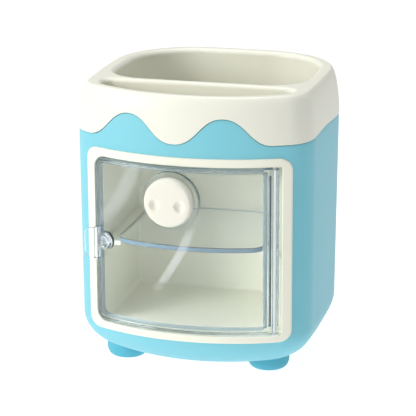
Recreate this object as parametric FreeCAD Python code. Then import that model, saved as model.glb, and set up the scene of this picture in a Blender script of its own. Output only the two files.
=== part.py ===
import FreeCAD, Part
import math
import os

from FreeCAD import Vector

# A desk pencil holder with a small cabinet behind a clear door. Sizes in millimetres.
# +X is to the holder's right as seen from the front, +Y to the back, +Z up.
# The pieces are drawn round the middle of the body's plan. They are stored with the origin
# under the middle of the whole box, at the height of the feet's soles.

# Whole object
height = 128.0
half_width = 52.9
half_depth = 54.7
foot_height = 4.0

# Plan of the body: six gently bulged arcs and corners, all tangent to each other
front_radius = 90.0
rear_radius = 350.0
side_radius = 600.0
front_corner_radius = 12.0
rear_corner_radius = 38.0

# How the body narrows downwards, per millimetre of height
front_lean = 0.02
side_lean = 0.005

# Rounding of the body's underside and of its top, as quarter ellipses
bottom_round_out = 28.0
bottom_round_up = 20.0
top_round_in = 4.5
top_round_up = 26.0

# Body shell and cover
shell_wall = 2.55
skirt_wall = 2.35
skirt_proud = 0.3
seam_gap = 0.3
neck_wall = 1.8
neck_below_wave = 4.7
neck_above_wave = 8.3
cover_wall = 1.8
rim_inset = 8.2
rim_round = 2.3
ceiling_thickness = 2.4

# The wave between cover and body: rounded crests, each with its place along the plan's edge
# from the middle of the front, its full width and its height above the level edge. The level
# edge, the front slot's floor and the frame's top are set by their depth below the rim.
wave_depth = 20.3
crest_height = 11.4
crest_width = 40.0
left_crest_place = -24.0
right_crest_place = 17.5
rear_crest_place = 20.7
side_swell_height = 1.4
side_swell_width = 66.0
side_swell_place = 78.0
wave_step = 3.0

# Compartments in the cover
divider_thickness = 5.0
divider_back = -20.5
rear_corner_fillet = 12.0
slot_corner_fillet = 4.5
slot_depth = 25.0
well_floor = 20.4
well_inset = 9.0
well_corner_fillet = 5.0
floor_fillet = 2.5

# Cabinet
cabinet_half_width = 38.6
cabinet_floor = 23.6
ceiling_below_frame = 5.9
cabinet_back = 12.0
cabinet_wall = 2.0
cabinet_fillet = 1.8
well_clearance = 0.3

# Frame round the door
frame_half_width = 45.0
frame_bottom = 20.5
frame_depth = 25.7
frame_corner = 5.2
frame_proud = 0.8
frame_band_side = 4.0
frame_band_top = 3.7
frame_band_bottom = 3.3
recess_depth = 6.3
recess_wall = 1.8
recess_left_corner = 5.0
recess_right_corner = 0.8
window_gap = 0.2

# Door
door_proud = 1.6
door_plate = 2.0
door_gap = 0.7
door_stop_gap = 0.3
flange_wall = 1.8
door_left_corner = 4.3
door_right_corner = 1.0
narrow_corner = 0.2
barrel_radius = 2.1
barrel_proud = 0.15
hinge_x = 37.8
rod_radius = 0.8
rod_clearance = 0.05
rod_seat = 1.6
flange_from_hinge = 2.4
knuckle_height = 3.2
knuckle_depth = 2.2
catch_height = 45.0
catch_nib_radius = 1.0
catch_nib_proud = 0.3
catch_pocket_radius = 1.5

# Shelf
shelf_half_width = 32.0
shelf_top = 62.0
shelf_thickness = 2.2
shelf_front_inset = 5.0
shelf_back_gap = 0.3
shelf_front_corner = 7.0
shelf_back_corner = 2.0
rail_overlap = 1.2
rail_thickness = 2.0
rail_front_step = 2.0

# Knob on the door
nose_x = -4.3
nose_below_frame = 17.4
nose_radius = 11.1
nose_thickness = 5.2
nose_edge_round = 1.7
dimple_radius = 2.8
dimple_depth = 0.9
dimple_spacing = 9.8
dimple_drop = 0.8
collar_radius = 12.7
collar_thickness = 1.6
collar_edge_round = 0.6
nose_screw_radius = 1.3
nose_screw_head_radius = 2.6
nose_screw_head_height = 1.5
nose_screw_bite = 3.2
nose_screw_end_gap = 0.5
rear_head_gap = 0.1

# Finger tab and its stud
stud_x = -35.0
stud_z = 62.0
stud_base_radius = 3.6
stud_base_height = 1.9
stud_tip_radius = 2.7
stud_tip_height = 3.0
stud_tip_round = 1.0
stud_shank_radius = 1.3
stud_rivet_radius = 2.2
stud_rivet_height = 0.8
ear_radius = 4.1
ear_thickness = 1.2
ear_notch_gap = 0.15
tab_left = -45.2
tab_height = 13.0
tab_mid_z = 60.4
tab_thickness = 1.2
tab_corner = 2.2
tab_rib_left = -40.9
tab_rib_right = -38.3
tab_rib_height = 14.4
tab_rib_proud = 0.9
tab_rib_corner = 0.6

# Feet
foot_mid_x = -2.5
foot_half_spacing_x = 32.5
foot_y = 18.5
foot_sole_radius = 6.4
foot_radius = 9.3
foot_belly_height = 4.4
foot_reach = 11.0
foot_stem_radius = 2.0
foot_stem_top = 12.0
foot_seat_gap = 0.1

# Screws from below and the bosses that they bite
screw_radius = 1.4
screw_length = 10.0
screw_head_radius = 2.8
screw_head_height = 1.9
screw_hole_clearance = 0.3
screw_fit = 0.05
boss_radius = 3.2
liner_boss_x = 17.0
liner_boss_front = -17.0
liner_boss_rear = 6.0
cover_boss_x = 14.0
cover_boss_y = 24.0

# Sizes that follow from the ones above
body_top = height - skirt_proud
straight_bottom = foot_height + bottom_round_up
straight_top = body_top - top_round_up
wave_level = height - wave_depth
neck_bottom = wave_level - neck_below_wave
neck_top = wave_level + neck_above_wave
slot_floor = height - slot_depth
frame_top = height - frame_depth
cabinet_ceiling = frame_top - ceiling_below_frame
nose_z = frame_top - nose_below_frame
door_face = door_proud
door_back = door_face - door_plate
recess_floor = frame_proud - recess_depth
flange_back = recess_floor + door_stop_gap
recess_half_width = frame_half_width - frame_band_side
recess_bottom = frame_bottom + frame_band_bottom
recess_top = frame_top - frame_band_top
door_left = -(recess_half_width - door_gap)
door_bottom = recess_bottom + door_gap
door_top = recess_top - door_gap
hinge_offset = door_face + barrel_proud - barrel_radius
flange_right = hinge_x - flange_from_hinge
slot_back = divider_back - divider_thickness
cabinet_shell_back = cabinet_back + cabinet_wall
well_front = cabinet_shell_back + well_clearance + cover_wall
step_floor = cabinet_ceiling + cabinet_wall + well_clearance + cover_wall

# Drawing aids: a length well beyond the object, how far a cutting shape passes the face that it
# opens, how far a shape is drawn behind a face that it is trimmed to, and a matching tolerance
far = 200.0
past_face = 1.0
behind_face = 4.0
wave_cut_reach = 10.0
same_place = 0.01


def arc_point(centre, radius, angle):
    return Vector(centre[0] + radius * math.cos(angle), centre[1] + radius * math.sin(angle), 0)


def corner_centre(face_centre_y, face_radius, side_centre_x, side_curve, corner):
    """Centre of a corner arc that touches the front or rear arc and the right side arc."""
    reach_face = face_radius - corner
    reach_side = side_curve - corner
    span = math.hypot(side_centre_x, face_centre_y)
    along = (reach_face ** 2 - reach_side ** 2 + span ** 2) / (2 * span)
    across = math.sqrt(reach_face ** 2 - along ** 2)
    unit_x = side_centre_x / span
    unit_y = -face_centre_y / span
    turn = 1.0 if face_centre_y > 0 else -1.0
    return (along * unit_x - turn * across * unit_y, face_centre_y + along * unit_y + turn * across * unit_x)


def plan_arcs(shrink, inset, level):
    """The eight arcs of the plan, as (centre, radius, start angle, end angle), from the front's left end."""
    drop = height - level
    wide = half_width - side_lean * drop - shrink
    deep = half_depth - front_lean * drop - shrink
    scale = wide / half_width
    front = (0.0, -deep + front_radius * scale)
    rear = (0.0, deep - rear_radius * scale)
    side = (wide - side_radius * scale, 0.0)
    flank = side_radius * scale
    near = corner_centre(front[1], front_radius * scale, side[0], flank, front_corner_radius * scale)
    distant = corner_centre(rear[1], rear_radius * scale, side[0], flank, rear_corner_radius * scale)
    to_front = math.atan2(near[1] - front[1], near[0] - front[0])
    to_side_near = math.atan2(near[1] - side[1], near[0] - side[0])
    to_side_far = math.atan2(distant[1] - side[1], distant[0] - side[0])
    to_rear = math.atan2(distant[1] - rear[1], distant[0] - rear[0])
    right = [
        (near, front_corner_radius * scale - inset, to_front, to_side_near),
        (side, flank - inset, to_side_near, to_side_far),
        (distant, rear_corner_radius * scale - inset, to_side_far, to_rear),
    ]
    left = [((-c[0], c[1]), r, math.pi - end, math.pi - start) for c, r, start, end in reversed(right)]
    front_arc = (front, front_radius * scale - inset, -math.pi - to_front, to_front)
    rear_arc = (rear, rear_radius * scale - inset, to_rear, math.pi - to_rear)
    return [front_arc] + right + [rear_arc] + left


def plan_wire(shrink, inset, level):
    edges = []
    for centre, radius, start, end in plan_arcs(shrink, inset, level):
        points = [arc_point(centre, radius, start + (end - start) * share) for share in (0, 0.5, 1)]
        lifted = [point + Vector(0, 0, level) for point in points]
        edges.append(Part.Arc(*lifted).toShape())
    return Part.Wire(edges)


def skin(inset):
    """Solid inside the body's outer surface, moved inwards by inset."""
    quarter = [math.radians(angle) for angle in (15, 30, 45, 60, 70, 80, 90)]
    low_out = bottom_round_out - inset
    low_up = bottom_round_up - inset
    high_up = top_round_up - inset
    sections = []
    for angle in reversed(quarter):
        level = straight_bottom - low_up * math.sin(angle)
        sections.append(plan_wire(low_out * (1 - math.cos(angle)), inset, level))
    for share in (0, 0.04, 0.12, 0.31, 0.69, 0.88, 0.96, 1):
        sections.append(plan_wire(0, inset, straight_bottom + (straight_top - straight_bottom) * share))
    for angle in quarter:
        level = straight_top + high_up * math.sin(angle)
        sections.append(plan_wire(top_round_in * (1 - math.cos(angle)), inset, level))
    return Part.makeLoft(sections, True, False)


def slab(bottom, top):
    return Part.makeBox(2 * far, 2 * far, top - bottom, Vector(-far, -far, bottom))


def plan_prism(inset, bottom, top, front=-far, back=far):
    """Upright prism on the plan moved inwards by inset, kept between two planes across Y."""
    base = Part.Face(plan_wire(0, inset, height))
    base.translate(Vector(0, 0, bottom - height))
    prism = base.extrude(Vector(0, 0, top - bottom))
    band = Part.makeBox(2 * far, back - front, 2 * far, Vector(-far, front, -far))
    return prism.common(band)


def front_solid(offset):
    """Upright, slightly leaning cylinder whose surface is the body's front, moved outwards by offset."""
    centre_y = front_radius - (half_depth - front_lean * height)
    circle = Part.Circle(Vector(0, centre_y, 0), Vector(0, 0, 1), front_radius + offset)
    face = Part.Face(Part.Wire(circle.toShape()))
    return face.extrude(Vector(0, -front_lean * height, height))


def front_y(x, z, offset):
    centre_y = front_radius - (half_depth - front_lean * (height - z))
    return centre_y - math.sqrt((front_radius + offset) ** 2 - x ** 2)


def front_normal_turn(x, offset):
    """Angle about Z, in degrees, from straight ahead to the front's normal at x."""
    return math.degrees(math.asin(x / (front_radius + offset)))


def rounded_panel(left, right, bottom, top, left_corner, right_corner, front=-far, back=0.0):
    """Prism along Y on a rectangle in XZ with rounded corners."""
    points = [(left, bottom, left_corner), (right, bottom, right_corner),
              (right, top, right_corner), (left, top, left_corner)]
    edges = []
    count = len(points)
    ends = []
    for index, (x, z, corner) in enumerate(points):
        before = points[index - 1]
        after = points[(index + 1) % count]
        to_before = Vector(before[0] - x, 0, before[1] - z).normalize()
        to_after = Vector(after[0] - x, 0, after[1] - z).normalize()
        vertex = Vector(x, front, z)
        start = vertex + to_before * corner
        end = vertex + to_after * corner
        middle = vertex + (to_before + to_after) * corner * (1 - math.sqrt(0.5))
        ends.append((start, middle, end))
    for index, (start, middle, end) in enumerate(ends):
        edges.append(Part.Arc(start, middle, end).toShape())
        edges.append(Part.makeLine(end, ends[(index + 1) % count][0]))
    return Part.Face(Part.Wire(edges)).extrude(Vector(0, back - front, 0))


def leaning_post(x, y_at_base, radius, bottom, top):
    """Round post that leans with the front, cut level at both ends."""
    lean = Vector(0, -front_lean, 1)
    low = bottom - radius
    length = (top + radius - low) * lean.Length
    post = Part.makeCylinder(radius, length, Vector(x, y_at_base - front_lean * low, low), lean)
    return post.common(slab(bottom, top))


def place_on_front(shape, x, z, offset):
    """Move a shape drawn along -Y from the origin to a point on the front, square to the surface."""
    shape = shape.copy()
    shape.rotate(Vector(0, 0, 0), Vector(1, 0, 0), math.degrees(math.atan(front_lean)))
    shape.rotate(Vector(0, 0, 0), Vector(0, 0, 1), front_normal_turn(x, offset))
    shape.translate(Vector(x, front_y(x, z, offset), z))
    return shape


def peg(radius, back, front):
    """Round peg along Y, from y = back to y = front, where the front is nearer the viewer."""
    return Part.makeCylinder(radius, back - front, Vector(0, front, 0), Vector(0, 1, 0))


def fillet_vertical_corners(shape, radius, near_y):
    picked = []
    for edge in shape.Edges:
        box = edge.BoundBox
        upright = box.ZLength > box.XLength + box.YLength
        if upright and abs(edge.CenterOfMass.y - near_y) < same_place:
            picked.append(edge)
    return shape.makeFillet(radius, picked)


def fillet_level_edges(shape, radius, level):
    picked = [edge for edge in shape.Edges
              if abs(edge.BoundBox.ZMin - level) < same_place and abs(edge.BoundBox.ZMax - level) < same_place]
    return shape.makeFillet(radius, picked)


def wave_height(place):
    """Height of the wavy seam at a distance along the plan's edge from the middle of the front."""
    half_round = sum(arc_length(arc) for arc in plan_arcs(0, 0, height)) / 2
    crests = [
        (left_crest_place, crest_width, crest_height),
        (right_crest_place, crest_width, crest_height),
        (-side_swell_place, side_swell_width, side_swell_height),
        (side_swell_place, side_swell_width, side_swell_height),
        (half_round - rear_crest_place, crest_width, crest_height),
        (rear_crest_place - half_round, crest_width, crest_height),
    ]
    level = wave_level
    for centre, width, rise in crests:
        share = (place - centre) / width
        if abs(share) < 0.5:
            level += rise * (0.5 + 0.5 * math.cos(2 * math.pi * share))
    return level


def arc_length(arc):
    return arc[1] * (arc[3] - arc[2])


def wave_points(offset, lift):
    """Points along the wave, on the plan moved outwards by offset."""
    arcs = plan_arcs(0, 0, height)
    half_front = arc_length(arcs[0]) / 2
    half_round = sum(arc_length(arc) for arc in arcs) / 2
    points = []
    travelled = -half_front
    for centre, radius, start, end in arcs:
        length = radius * (end - start)
        steps = max(2, round(length / wave_step))
        for step in range(steps):
            share = step / steps
            place = travelled + length * share
            if place > half_round:
                place -= 2 * half_round
            point = arc_point(centre, radius + offset, start + (end - start) * share)
            points.append(point + Vector(0, 0, wave_height(place) + lift))
        travelled += length
    return points


def closed_curve(points):
    curve = Part.BSplineCurve()
    curve.interpolate(points, PeriodicFlag=True)
    return curve.toShape()


def wave_ring(level, lift, outside=4.0, inside=5.0):
    """Solid ring round the body between a level plane and the wave, wider than the skirt."""
    outer_wave = wave_points(outside, lift)
    inner_wave = wave_points(-inside, lift)
    outer_flat = [Vector(p.x, p.y, level) for p in outer_wave]
    inner_flat = [Vector(p.x, p.y, level) for p in inner_wave]
    curves = [closed_curve(points) for points in (outer_wave, outer_flat, inner_flat, inner_wave)]
    faces = []
    for index, curve in enumerate(curves):
        faces.append(Part.makeRuledSurface(curve, curves[(index + 1) % 4]))
    shell = Part.makeShell(faces)
    shell.sewShape()
    ring = Part.makeSolid(shell)
    if ring.Volume < 0:
        ring.reverse()
    return ring


def make_outer_shell():
    inner = skin(shell_wall)
    layer = skin(0.0).common(slab(0, wave_level + crest_height)).cut(inner)
    layer = layer.cut(wave_ring(height + wave_cut_reach, -seam_gap / 2))
    neck = inner.cut(skin(shell_wall + neck_wall)).common(slab(neck_bottom, neck_top))
    shell = layer.fuse(neck)
    gap = recess_wall + window_gap
    window = rounded_panel(-(recess_half_width + gap), recess_half_width + gap, recess_bottom - gap,
                           recess_top + gap, recess_left_corner, recess_left_corner)
    shell = shell.cut(window)
    for x, y in foot_places():
        shell = shell.cut(Part.makeCylinder(foot_stem_radius + screw_fit, foot_stem_top, Vector(x, y, 0)))
    for x, y in screw_places():
        hole = Part.makeCylinder(screw_radius + screw_hole_clearance, foot_stem_top, Vector(x, y, 0))
        shell = shell.cut(hole)
    return shell


def foot_places():
    ends = ((-1, -1), (1, -1), (-1, 1), (1, 1))
    return [(foot_mid_x + side * foot_half_spacing_x, end * foot_y) for side, end in ends]


def liner_screw_places():
    return [(side * liner_boss_x, y) for y in (liner_boss_front, liner_boss_rear) for side in (-1, 1)]


def cover_screw_places():
    return [(side * cover_boss_x, cover_boss_y) for side in (-1, 1)]


def screw_places():
    return liner_screw_places() + cover_screw_places()


def make_foot(x, y):
    sole = [Vector(0, 0, 0), Vector(foot_sole_radius, 0, 0)]
    belly = Vector(foot_radius, 0, foot_belly_height)
    lift = foot_belly_height * (1 - math.sqrt(0.5))
    swell = Vector(foot_sole_radius + (foot_radius - foot_sole_radius) * math.sqrt(0.5), 0, lift)
    top = Vector(foot_radius, 0, foot_reach)
    axis_top = Vector(0, 0, foot_reach)
    profile = Part.Wire([
        Part.makeLine(sole[0], sole[1]),
        Part.Arc(sole[1], swell, belly).toShape(),
        Part.makeLine(belly, top),
        Part.makeLine(top, axis_top),
        Part.makeLine(axis_top, sole[0]),
    ])
    dome = Part.Face(profile).revolve(Vector(0, 0, 0), Vector(0, 0, 1), 360)
    dome.translate(Vector(x, y, 0))
    body = skin(0.0).translate(Vector(0, 0, -foot_seat_gap))
    dome = dome.cut(body)
    stem = Part.makeCylinder(foot_stem_radius, foot_stem_top - foot_height / 2, Vector(x, y, foot_height / 2))
    return dome.fuse(stem)


def make_boss(x, y, top):
    boss = Part.makeCylinder(boss_radius, top, Vector(x, y, 0))
    return boss.common(skin(shell_wall))


def boss_hole(x, y):
    depth = foot_height + screw_length + past_face
    return Part.makeCylinder(screw_radius + screw_fit, depth, Vector(x, y, 0))


def make_top_cover():
    cap = skin(-skirt_proud).common(slab(neck_bottom, height))
    cap = cap.cut(skin(skirt_wall).common(slab(0, height - ceiling_thickness)))
    cap = cap.cut(wave_ring(neck_bottom - wave_cut_reach, seam_gap / 2))
    wall_inset = rim_inset - cover_wall
    under_rim = height - ceiling_thickness / 2
    rear_box = plan_prism(wall_inset, step_floor - cover_wall, under_rim, divider_back - cover_wall)
    well_box = plan_prism(well_inset - cover_wall, well_floor - cover_wall, step_floor, well_front - cover_wall)
    well_box = fillet_level_edges(well_box, floor_fillet, well_floor - cover_wall)
    slot_box = plan_prism(wall_inset, slot_floor - cover_wall, under_rim, -far, divider_back - cover_wall)
    cover = cap.fuse([rear_box, well_box, slot_box])
    over = height + past_face
    rear = plan_prism(rim_inset, step_floor, over, divider_back)
    rear = fillet_vertical_corners(rear, rear_corner_fillet, divider_back)
    well = plan_prism(well_inset, well_floor, step_floor + past_face, well_front)
    well = fillet_vertical_corners(well, well_corner_fillet, well_front)
    well = fillet_level_edges(well, floor_fillet, well_floor)
    slot = plan_prism(rim_inset, slot_floor, over, -far, slot_back)
    slot = fillet_vertical_corners(slot, slot_corner_fillet, slot_back)
    slot = fillet_level_edges(slot, floor_fillet, slot_floor)
    cover = cover.cut([rear, well, slot])
    cover = cover.makeFillet(rim_round, [edge for edge in cover.Edges if is_rim_edge(edge)])
    for x, y in cover_screw_places():
        boss = make_boss(x, y, well_floor - cover_wall / 2)
        cover = cover.fuse(boss).cut(boss_hole(x, y))
    return cover


def is_rim_edge(edge):
    """True for the compartments' upper edges, which lie well inside the top's outer edge."""
    box = edge.BoundBox
    level = abs(box.ZMin - height) < same_place and abs(box.ZMax - height) < same_place
    if not level:
        return False
    middle = edge.valueAt((edge.FirstParameter + edge.LastParameter) / 2)
    probe = Part.Vertex(Vector(middle.x, middle.y, height))
    outline = plan_wire(top_round_in, -skirt_proud, height)
    return probe.distToShape(outline)[0] > (rim_inset - top_round_in) / 2


def make_liner():
    outer_half = recess_half_width + recess_wall
    outer_low = recess_bottom - recess_wall
    outer_high = recess_top + recess_wall
    tube = rounded_panel(-outer_half, outer_half, outer_low, outer_high,
                         recess_left_corner, recess_left_corner)
    tube = tube.common(front_solid(frame_proud)).cut(front_solid(recess_floor - recess_wall))
    flange = rounded_panel(-frame_half_width, frame_half_width, frame_bottom, frame_top,
                           frame_corner, frame_corner)
    flange = flange.common(front_solid(frame_proud)).cut(skin(0.0))
    box = Part.makeBox(2 * (cabinet_half_width + cabinet_wall), cabinet_shell_back + far,
                       cabinet_ceiling - cabinet_floor + 2 * cabinet_wall,
                       Vector(-(cabinet_half_width + cabinet_wall), -far, cabinet_floor - cabinet_wall))
    box = box.common(front_solid(recess_floor))
    liner = flange.fuse([tube, box])
    recess = rounded_panel(-recess_half_width, recess_half_width, recess_bottom, recess_top,
                           recess_left_corner, recess_right_corner)
    recess = recess.cut(front_solid(recess_floor))
    inside = Part.makeBox(2 * cabinet_half_width, cabinet_back + far, cabinet_ceiling - cabinet_floor,
                          Vector(-cabinet_half_width, -far, cabinet_floor))
    back_edges = [edge for edge in inside.Edges if edge.BoundBox.YMin > cabinet_back - same_place]
    inside = inside.makeFillet(cabinet_fillet, back_edges)
    liner = liner.cut([recess, inside])
    liner = liner.fuse(make_rails())
    liner = liner.cut(rod_socket())
    liner = liner.cut(catch_pocket())
    for x, y in liner_screw_places():
        boss = make_boss(x, y, cabinet_floor - cabinet_wall / 2)
        liner = liner.fuse(boss).cut(boss_hole(x, y))
    return liner


def make_rails():
    """Two rails on the cabinet's side walls, which carry the shelf's edges."""
    inner = shelf_half_width - rail_overlap
    top = shelf_top - shelf_thickness
    rails = []
    for side in (-1, 1):
        low_x = min(side * inner, side * (cabinet_half_width + cabinet_wall / 2))
        width = cabinet_half_width + cabinet_wall / 2 - inner
        rail = Part.makeBox(width, far + cabinet_back + cabinet_wall / 2, rail_thickness,
                            Vector(low_x, -far, top - rail_thickness))
        rails.append(rail.common(front_solid(-shelf_front_inset - rail_front_step)))
    return rails


def hinge_base_y():
    return front_y(hinge_x, 0, hinge_offset)


def rod_socket():
    low = recess_bottom - rod_seat
    high = recess_top + rod_seat
    return leaning_post(hinge_x, hinge_base_y(), rod_radius + rod_clearance, low, high)


def make_hinge_rod():
    low = recess_bottom - rod_seat
    high = recess_top + rod_seat
    return leaning_post(hinge_x, hinge_base_y(), rod_radius, low, high)


def catch_spot():
    """Middle of the flange's outer side at the catch."""
    middle = (door_back + flange_back) / 2
    return front_y(door_left, catch_height, middle)


def catch_pocket():
    return Part.makeSphere(catch_pocket_radius, Vector(-recess_half_width + catch_pocket_radius / 2,
                                                       catch_spot(), catch_height))


def make_door_panel():
    plate = rounded_panel(door_left, hinge_x, door_bottom, door_top, door_left_corner, narrow_corner)
    plate = plate.common(front_solid(door_face)).cut(front_solid(door_back))
    outer = rounded_panel(door_left, flange_right, door_bottom, door_top, door_left_corner, door_right_corner)
    inner = rounded_panel(door_left + flange_wall, flange_right - flange_wall, door_bottom + flange_wall,
                          door_top - flange_wall, door_left_corner - flange_wall, door_right_corner)
    flange = outer.cut(inner).common(front_solid(door_face - door_plate / 2)).cut(front_solid(flange_back))
    barrel = leaning_post(hinge_x, hinge_base_y(), barrel_radius, door_bottom, door_top)
    pieces = [flange, barrel]
    for low in (door_bottom, door_top - knuckle_height):
        block = Part.makeBox(hinge_x - flange_right + flange_wall / 2, far, knuckle_height,
                             Vector(flange_right - flange_wall / 2, -far, low))
        block = block.common(front_solid(door_face - door_plate / 2))
        block = block.cut(front_solid(door_back - knuckle_depth))
        pieces.append(block)
    door = plate.fuse(pieces)
    nib = Part.makeSphere(catch_nib_radius, Vector(door_left - catch_nib_proud + catch_nib_radius,
                                                   catch_spot(), catch_height))
    door = door.fuse(nib)
    door = door.cut(leaning_post(hinge_x, hinge_base_y(), rod_radius + rod_clearance, 0, height))
    for x, z, radius in ((nose_x, nose_z, nose_screw_radius), (stud_x, stud_z, stud_shank_radius)):
        hole = peg(radius + screw_fit, door_plate + behind_face, -behind_face)
        door = door.cut(place_on_front(hole, x, z, door_face))
    return door


def make_nose_knob():
    knob = peg(nose_radius, 0, -nose_thickness)
    front_edge = [edge for edge in knob.Edges if edge.BoundBox.YMax < -nose_thickness + same_place]
    knob = knob.makeFillet(nose_edge_round, front_edge)
    ball = (dimple_radius ** 2 + dimple_depth ** 2) / (2 * dimple_depth)
    for side in (-1, 1):
        centre = Vector(side * dimple_spacing / 2, -nose_thickness - ball + dimple_depth, -dimple_drop)
        knob = knob.cut(Part.makeSphere(ball, centre))
    knob = knob.cut(peg(nose_screw_radius + screw_fit, past_face, -nose_screw_bite - nose_screw_end_gap))
    knob.translate(Vector(0, -collar_thickness, 0))
    return place_on_front(knob, nose_x, nose_z, door_face)


def make_nose_collar():
    collar = peg(collar_radius, behind_face, -collar_thickness)
    front_edge = [edge for edge in collar.Edges if edge.BoundBox.YMax < -collar_thickness + same_place]
    collar = collar.makeFillet(collar_edge_round, front_edge)
    hole = peg(nose_screw_radius + screw_fit, behind_face + past_face, -collar_thickness - past_face)
    collar = collar.cut(hole)
    return place_on_front(collar, nose_x, nose_z, door_face).cut(front_solid(door_face))


def make_nose_screw():
    head_front = door_plate + rear_head_gap
    tip = -collar_thickness - nose_screw_bite
    shank = peg(nose_screw_radius, head_front + nose_screw_head_height / 2, tip)
    head = peg(nose_screw_head_radius, head_front + nose_screw_head_height, head_front)
    return place_on_front(shank.fuse(head), nose_x, nose_z, door_face)


def make_tab_stud():
    base_front = -ear_thickness - stud_base_height
    base = peg(stud_base_radius, -ear_thickness, base_front)
    tip_front = base_front - stud_tip_height
    tip = peg(stud_tip_radius, -ear_thickness, tip_front)
    tip_edge = [edge for edge in tip.Edges if edge.BoundBox.YMax < tip_front + same_place]
    tip = tip.makeFillet(stud_tip_round, tip_edge)
    rivet_front = door_plate + rear_head_gap
    shank = peg(stud_shank_radius, rivet_front + stud_rivet_height / 2, -ear_thickness - stud_base_height / 2)
    rivet = peg(stud_rivet_radius, rivet_front + stud_rivet_height, rivet_front)
    return place_on_front(base.fuse([tip, shank, rivet]), stud_x, stud_z, door_face)


def make_pull_tab():
    seat_y = front_y(tab_rib_right, tab_mid_z, door_face)
    low = tab_mid_z - tab_height / 2
    high = tab_mid_z + tab_height / 2
    plate = rounded_panel(tab_left, tab_rib_right, low, high, tab_corner, narrow_corner,
                          seat_y - tab_thickness, seat_y)
    rib_low = tab_mid_z - tab_rib_height / 2
    rib = rounded_panel(tab_rib_left, tab_rib_right, rib_low, rib_low + tab_rib_height, tab_rib_corner,
                        tab_rib_corner, seat_y - tab_thickness - tab_rib_proud)
    ear = peg(ear_radius, behind_face, -ear_thickness)
    ear = place_on_front(ear, stud_x, stud_z, door_face)
    tab = plate.fuse([rib, ear]).cut(front_solid(door_face))
    hole = peg(stud_shank_radius + screw_fit, behind_face, -behind_face)
    hole = place_on_front(hole, stud_x, stud_z, door_face)
    notch = peg(stud_base_radius + ear_notch_gap, -ear_thickness, -ear_thickness - behind_face)
    notch = place_on_front(notch, stud_x, stud_z, door_face)
    return tab.cut([hole, notch])


def make_shelf():
    back = cabinet_back - shelf_back_gap
    low = shelf_top - shelf_thickness
    corner = Vector(-shelf_half_width, -far, low)
    board = Part.makeBox(2 * shelf_half_width, far + back, shelf_thickness, corner)
    board = board.common(front_solid(-shelf_front_inset))
    front = [edge for edge in upright_edges(board) if edge.CenterOfMass.y < 0]
    board = board.makeFillet(shelf_front_corner, front)
    rear = [edge for edge in upright_edges(board) if abs(edge.CenterOfMass.y - back) < same_place]
    return board.makeFillet(shelf_back_corner, rear)


def upright_edges(board):
    return [edge for edge in board.Edges if edge.BoundBox.ZLength > shelf_thickness - same_place]


def make_base_screws():
    screws = []
    for x, y in screw_places():
        head_low = foot_height - screw_head_height
        head = Part.makeCylinder(screw_head_radius, screw_head_height, Vector(x, y, head_low))
        shank = Part.makeCylinder(screw_radius, screw_length, Vector(x, y, head_low + screw_head_height / 2))
        screws.append(head.fuse(shank))
    return Part.makeCompound(screws)


def make_pieces():
    pieces = {
        "outer_shell": make_outer_shell(),
        "top_cover": make_top_cover(),
        "cabinet_liner": make_liner(),
        "shelf": make_shelf(),
        "hinge_rod": make_hinge_rod(),
        "base_screws": make_base_screws(),
        "door_panel": make_door_panel(),
        "pull_tab": make_pull_tab(),
        "tab_stud": make_tab_stud(),
        "nose_knob": make_nose_knob(),
        "nose_collar": make_nose_collar(),
        "nose_screw": make_nose_screw(),
    }
    foot_names = ("foot_front_left", "foot_front_right", "foot_rear_left", "foot_rear_right")
    for name, (x, y) in zip(foot_names, foot_places()):
        pieces[name] = make_foot(x, y)
    return pieces


def middle_of_depth(pieces):
    """Y at the middle between the knob's face and the cover's back."""
    return (pieces["nose_knob"].optimalBoundingBox().YMin + pieces["top_cover"].optimalBoundingBox().YMax) / 2


def main():
    os.makedirs("parts", exist_ok=True)
    pieces = make_pieces()
    shift = Vector(0, -middle_of_depth(pieces), 0)
    for name, shape in pieces.items():
        placed = shape.copy()
        placed.translate(shift)
        if len(placed.Solids) == 1:
            placed = placed.removeSplitter()
        print(name, "solids", len(placed.Solids), "volume", round(placed.Volume, 1), "valid", placed.isValid())
        placed.exportStep("parts/" + name + ".step")
    hinge = Vector(hinge_x, hinge_base_y(), 0) + shift
    print("hinge at level 0", [round(value, 4) for value in hinge], "lean", front_lean)


main()
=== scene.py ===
# %% [markdown]
# # A pencil holder with a small clear-fronted cabinet
#
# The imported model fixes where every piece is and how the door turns. This script dresses it: each
# moulding is drawn again with soft edges and even walls, and gets a finish of its own. All drawing
# is done in millimetres round the middle of the body, and turned into metres when a piece is stored.

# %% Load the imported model
import math

import bmesh
import bpy
from mathutils import Matrix, Vector


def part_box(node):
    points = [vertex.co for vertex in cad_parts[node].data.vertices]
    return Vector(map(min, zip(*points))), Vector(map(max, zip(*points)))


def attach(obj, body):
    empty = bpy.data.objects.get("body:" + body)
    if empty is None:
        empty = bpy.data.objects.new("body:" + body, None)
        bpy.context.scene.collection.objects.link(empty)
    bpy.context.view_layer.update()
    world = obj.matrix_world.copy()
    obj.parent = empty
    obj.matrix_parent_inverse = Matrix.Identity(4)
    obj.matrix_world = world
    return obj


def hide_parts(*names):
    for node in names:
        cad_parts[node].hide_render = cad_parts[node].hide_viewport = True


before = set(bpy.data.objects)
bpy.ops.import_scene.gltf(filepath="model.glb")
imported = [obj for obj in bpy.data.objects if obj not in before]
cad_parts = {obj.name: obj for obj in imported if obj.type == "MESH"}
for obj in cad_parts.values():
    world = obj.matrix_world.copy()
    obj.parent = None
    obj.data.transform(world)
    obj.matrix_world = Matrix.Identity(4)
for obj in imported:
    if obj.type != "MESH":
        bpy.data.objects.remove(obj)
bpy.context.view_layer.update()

MM = 0.001
LINER_BACK = 14.0
SHIFT_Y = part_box("cabinet_liner")[1].y / MM - LINER_BACK

# %% [markdown]
# ## Camera
#
# The photograph was taken from a little to the right and above, with a long lens. The camera aims at
# a point near the middle of the holder from that direction, so no lens shift is needed.

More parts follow.
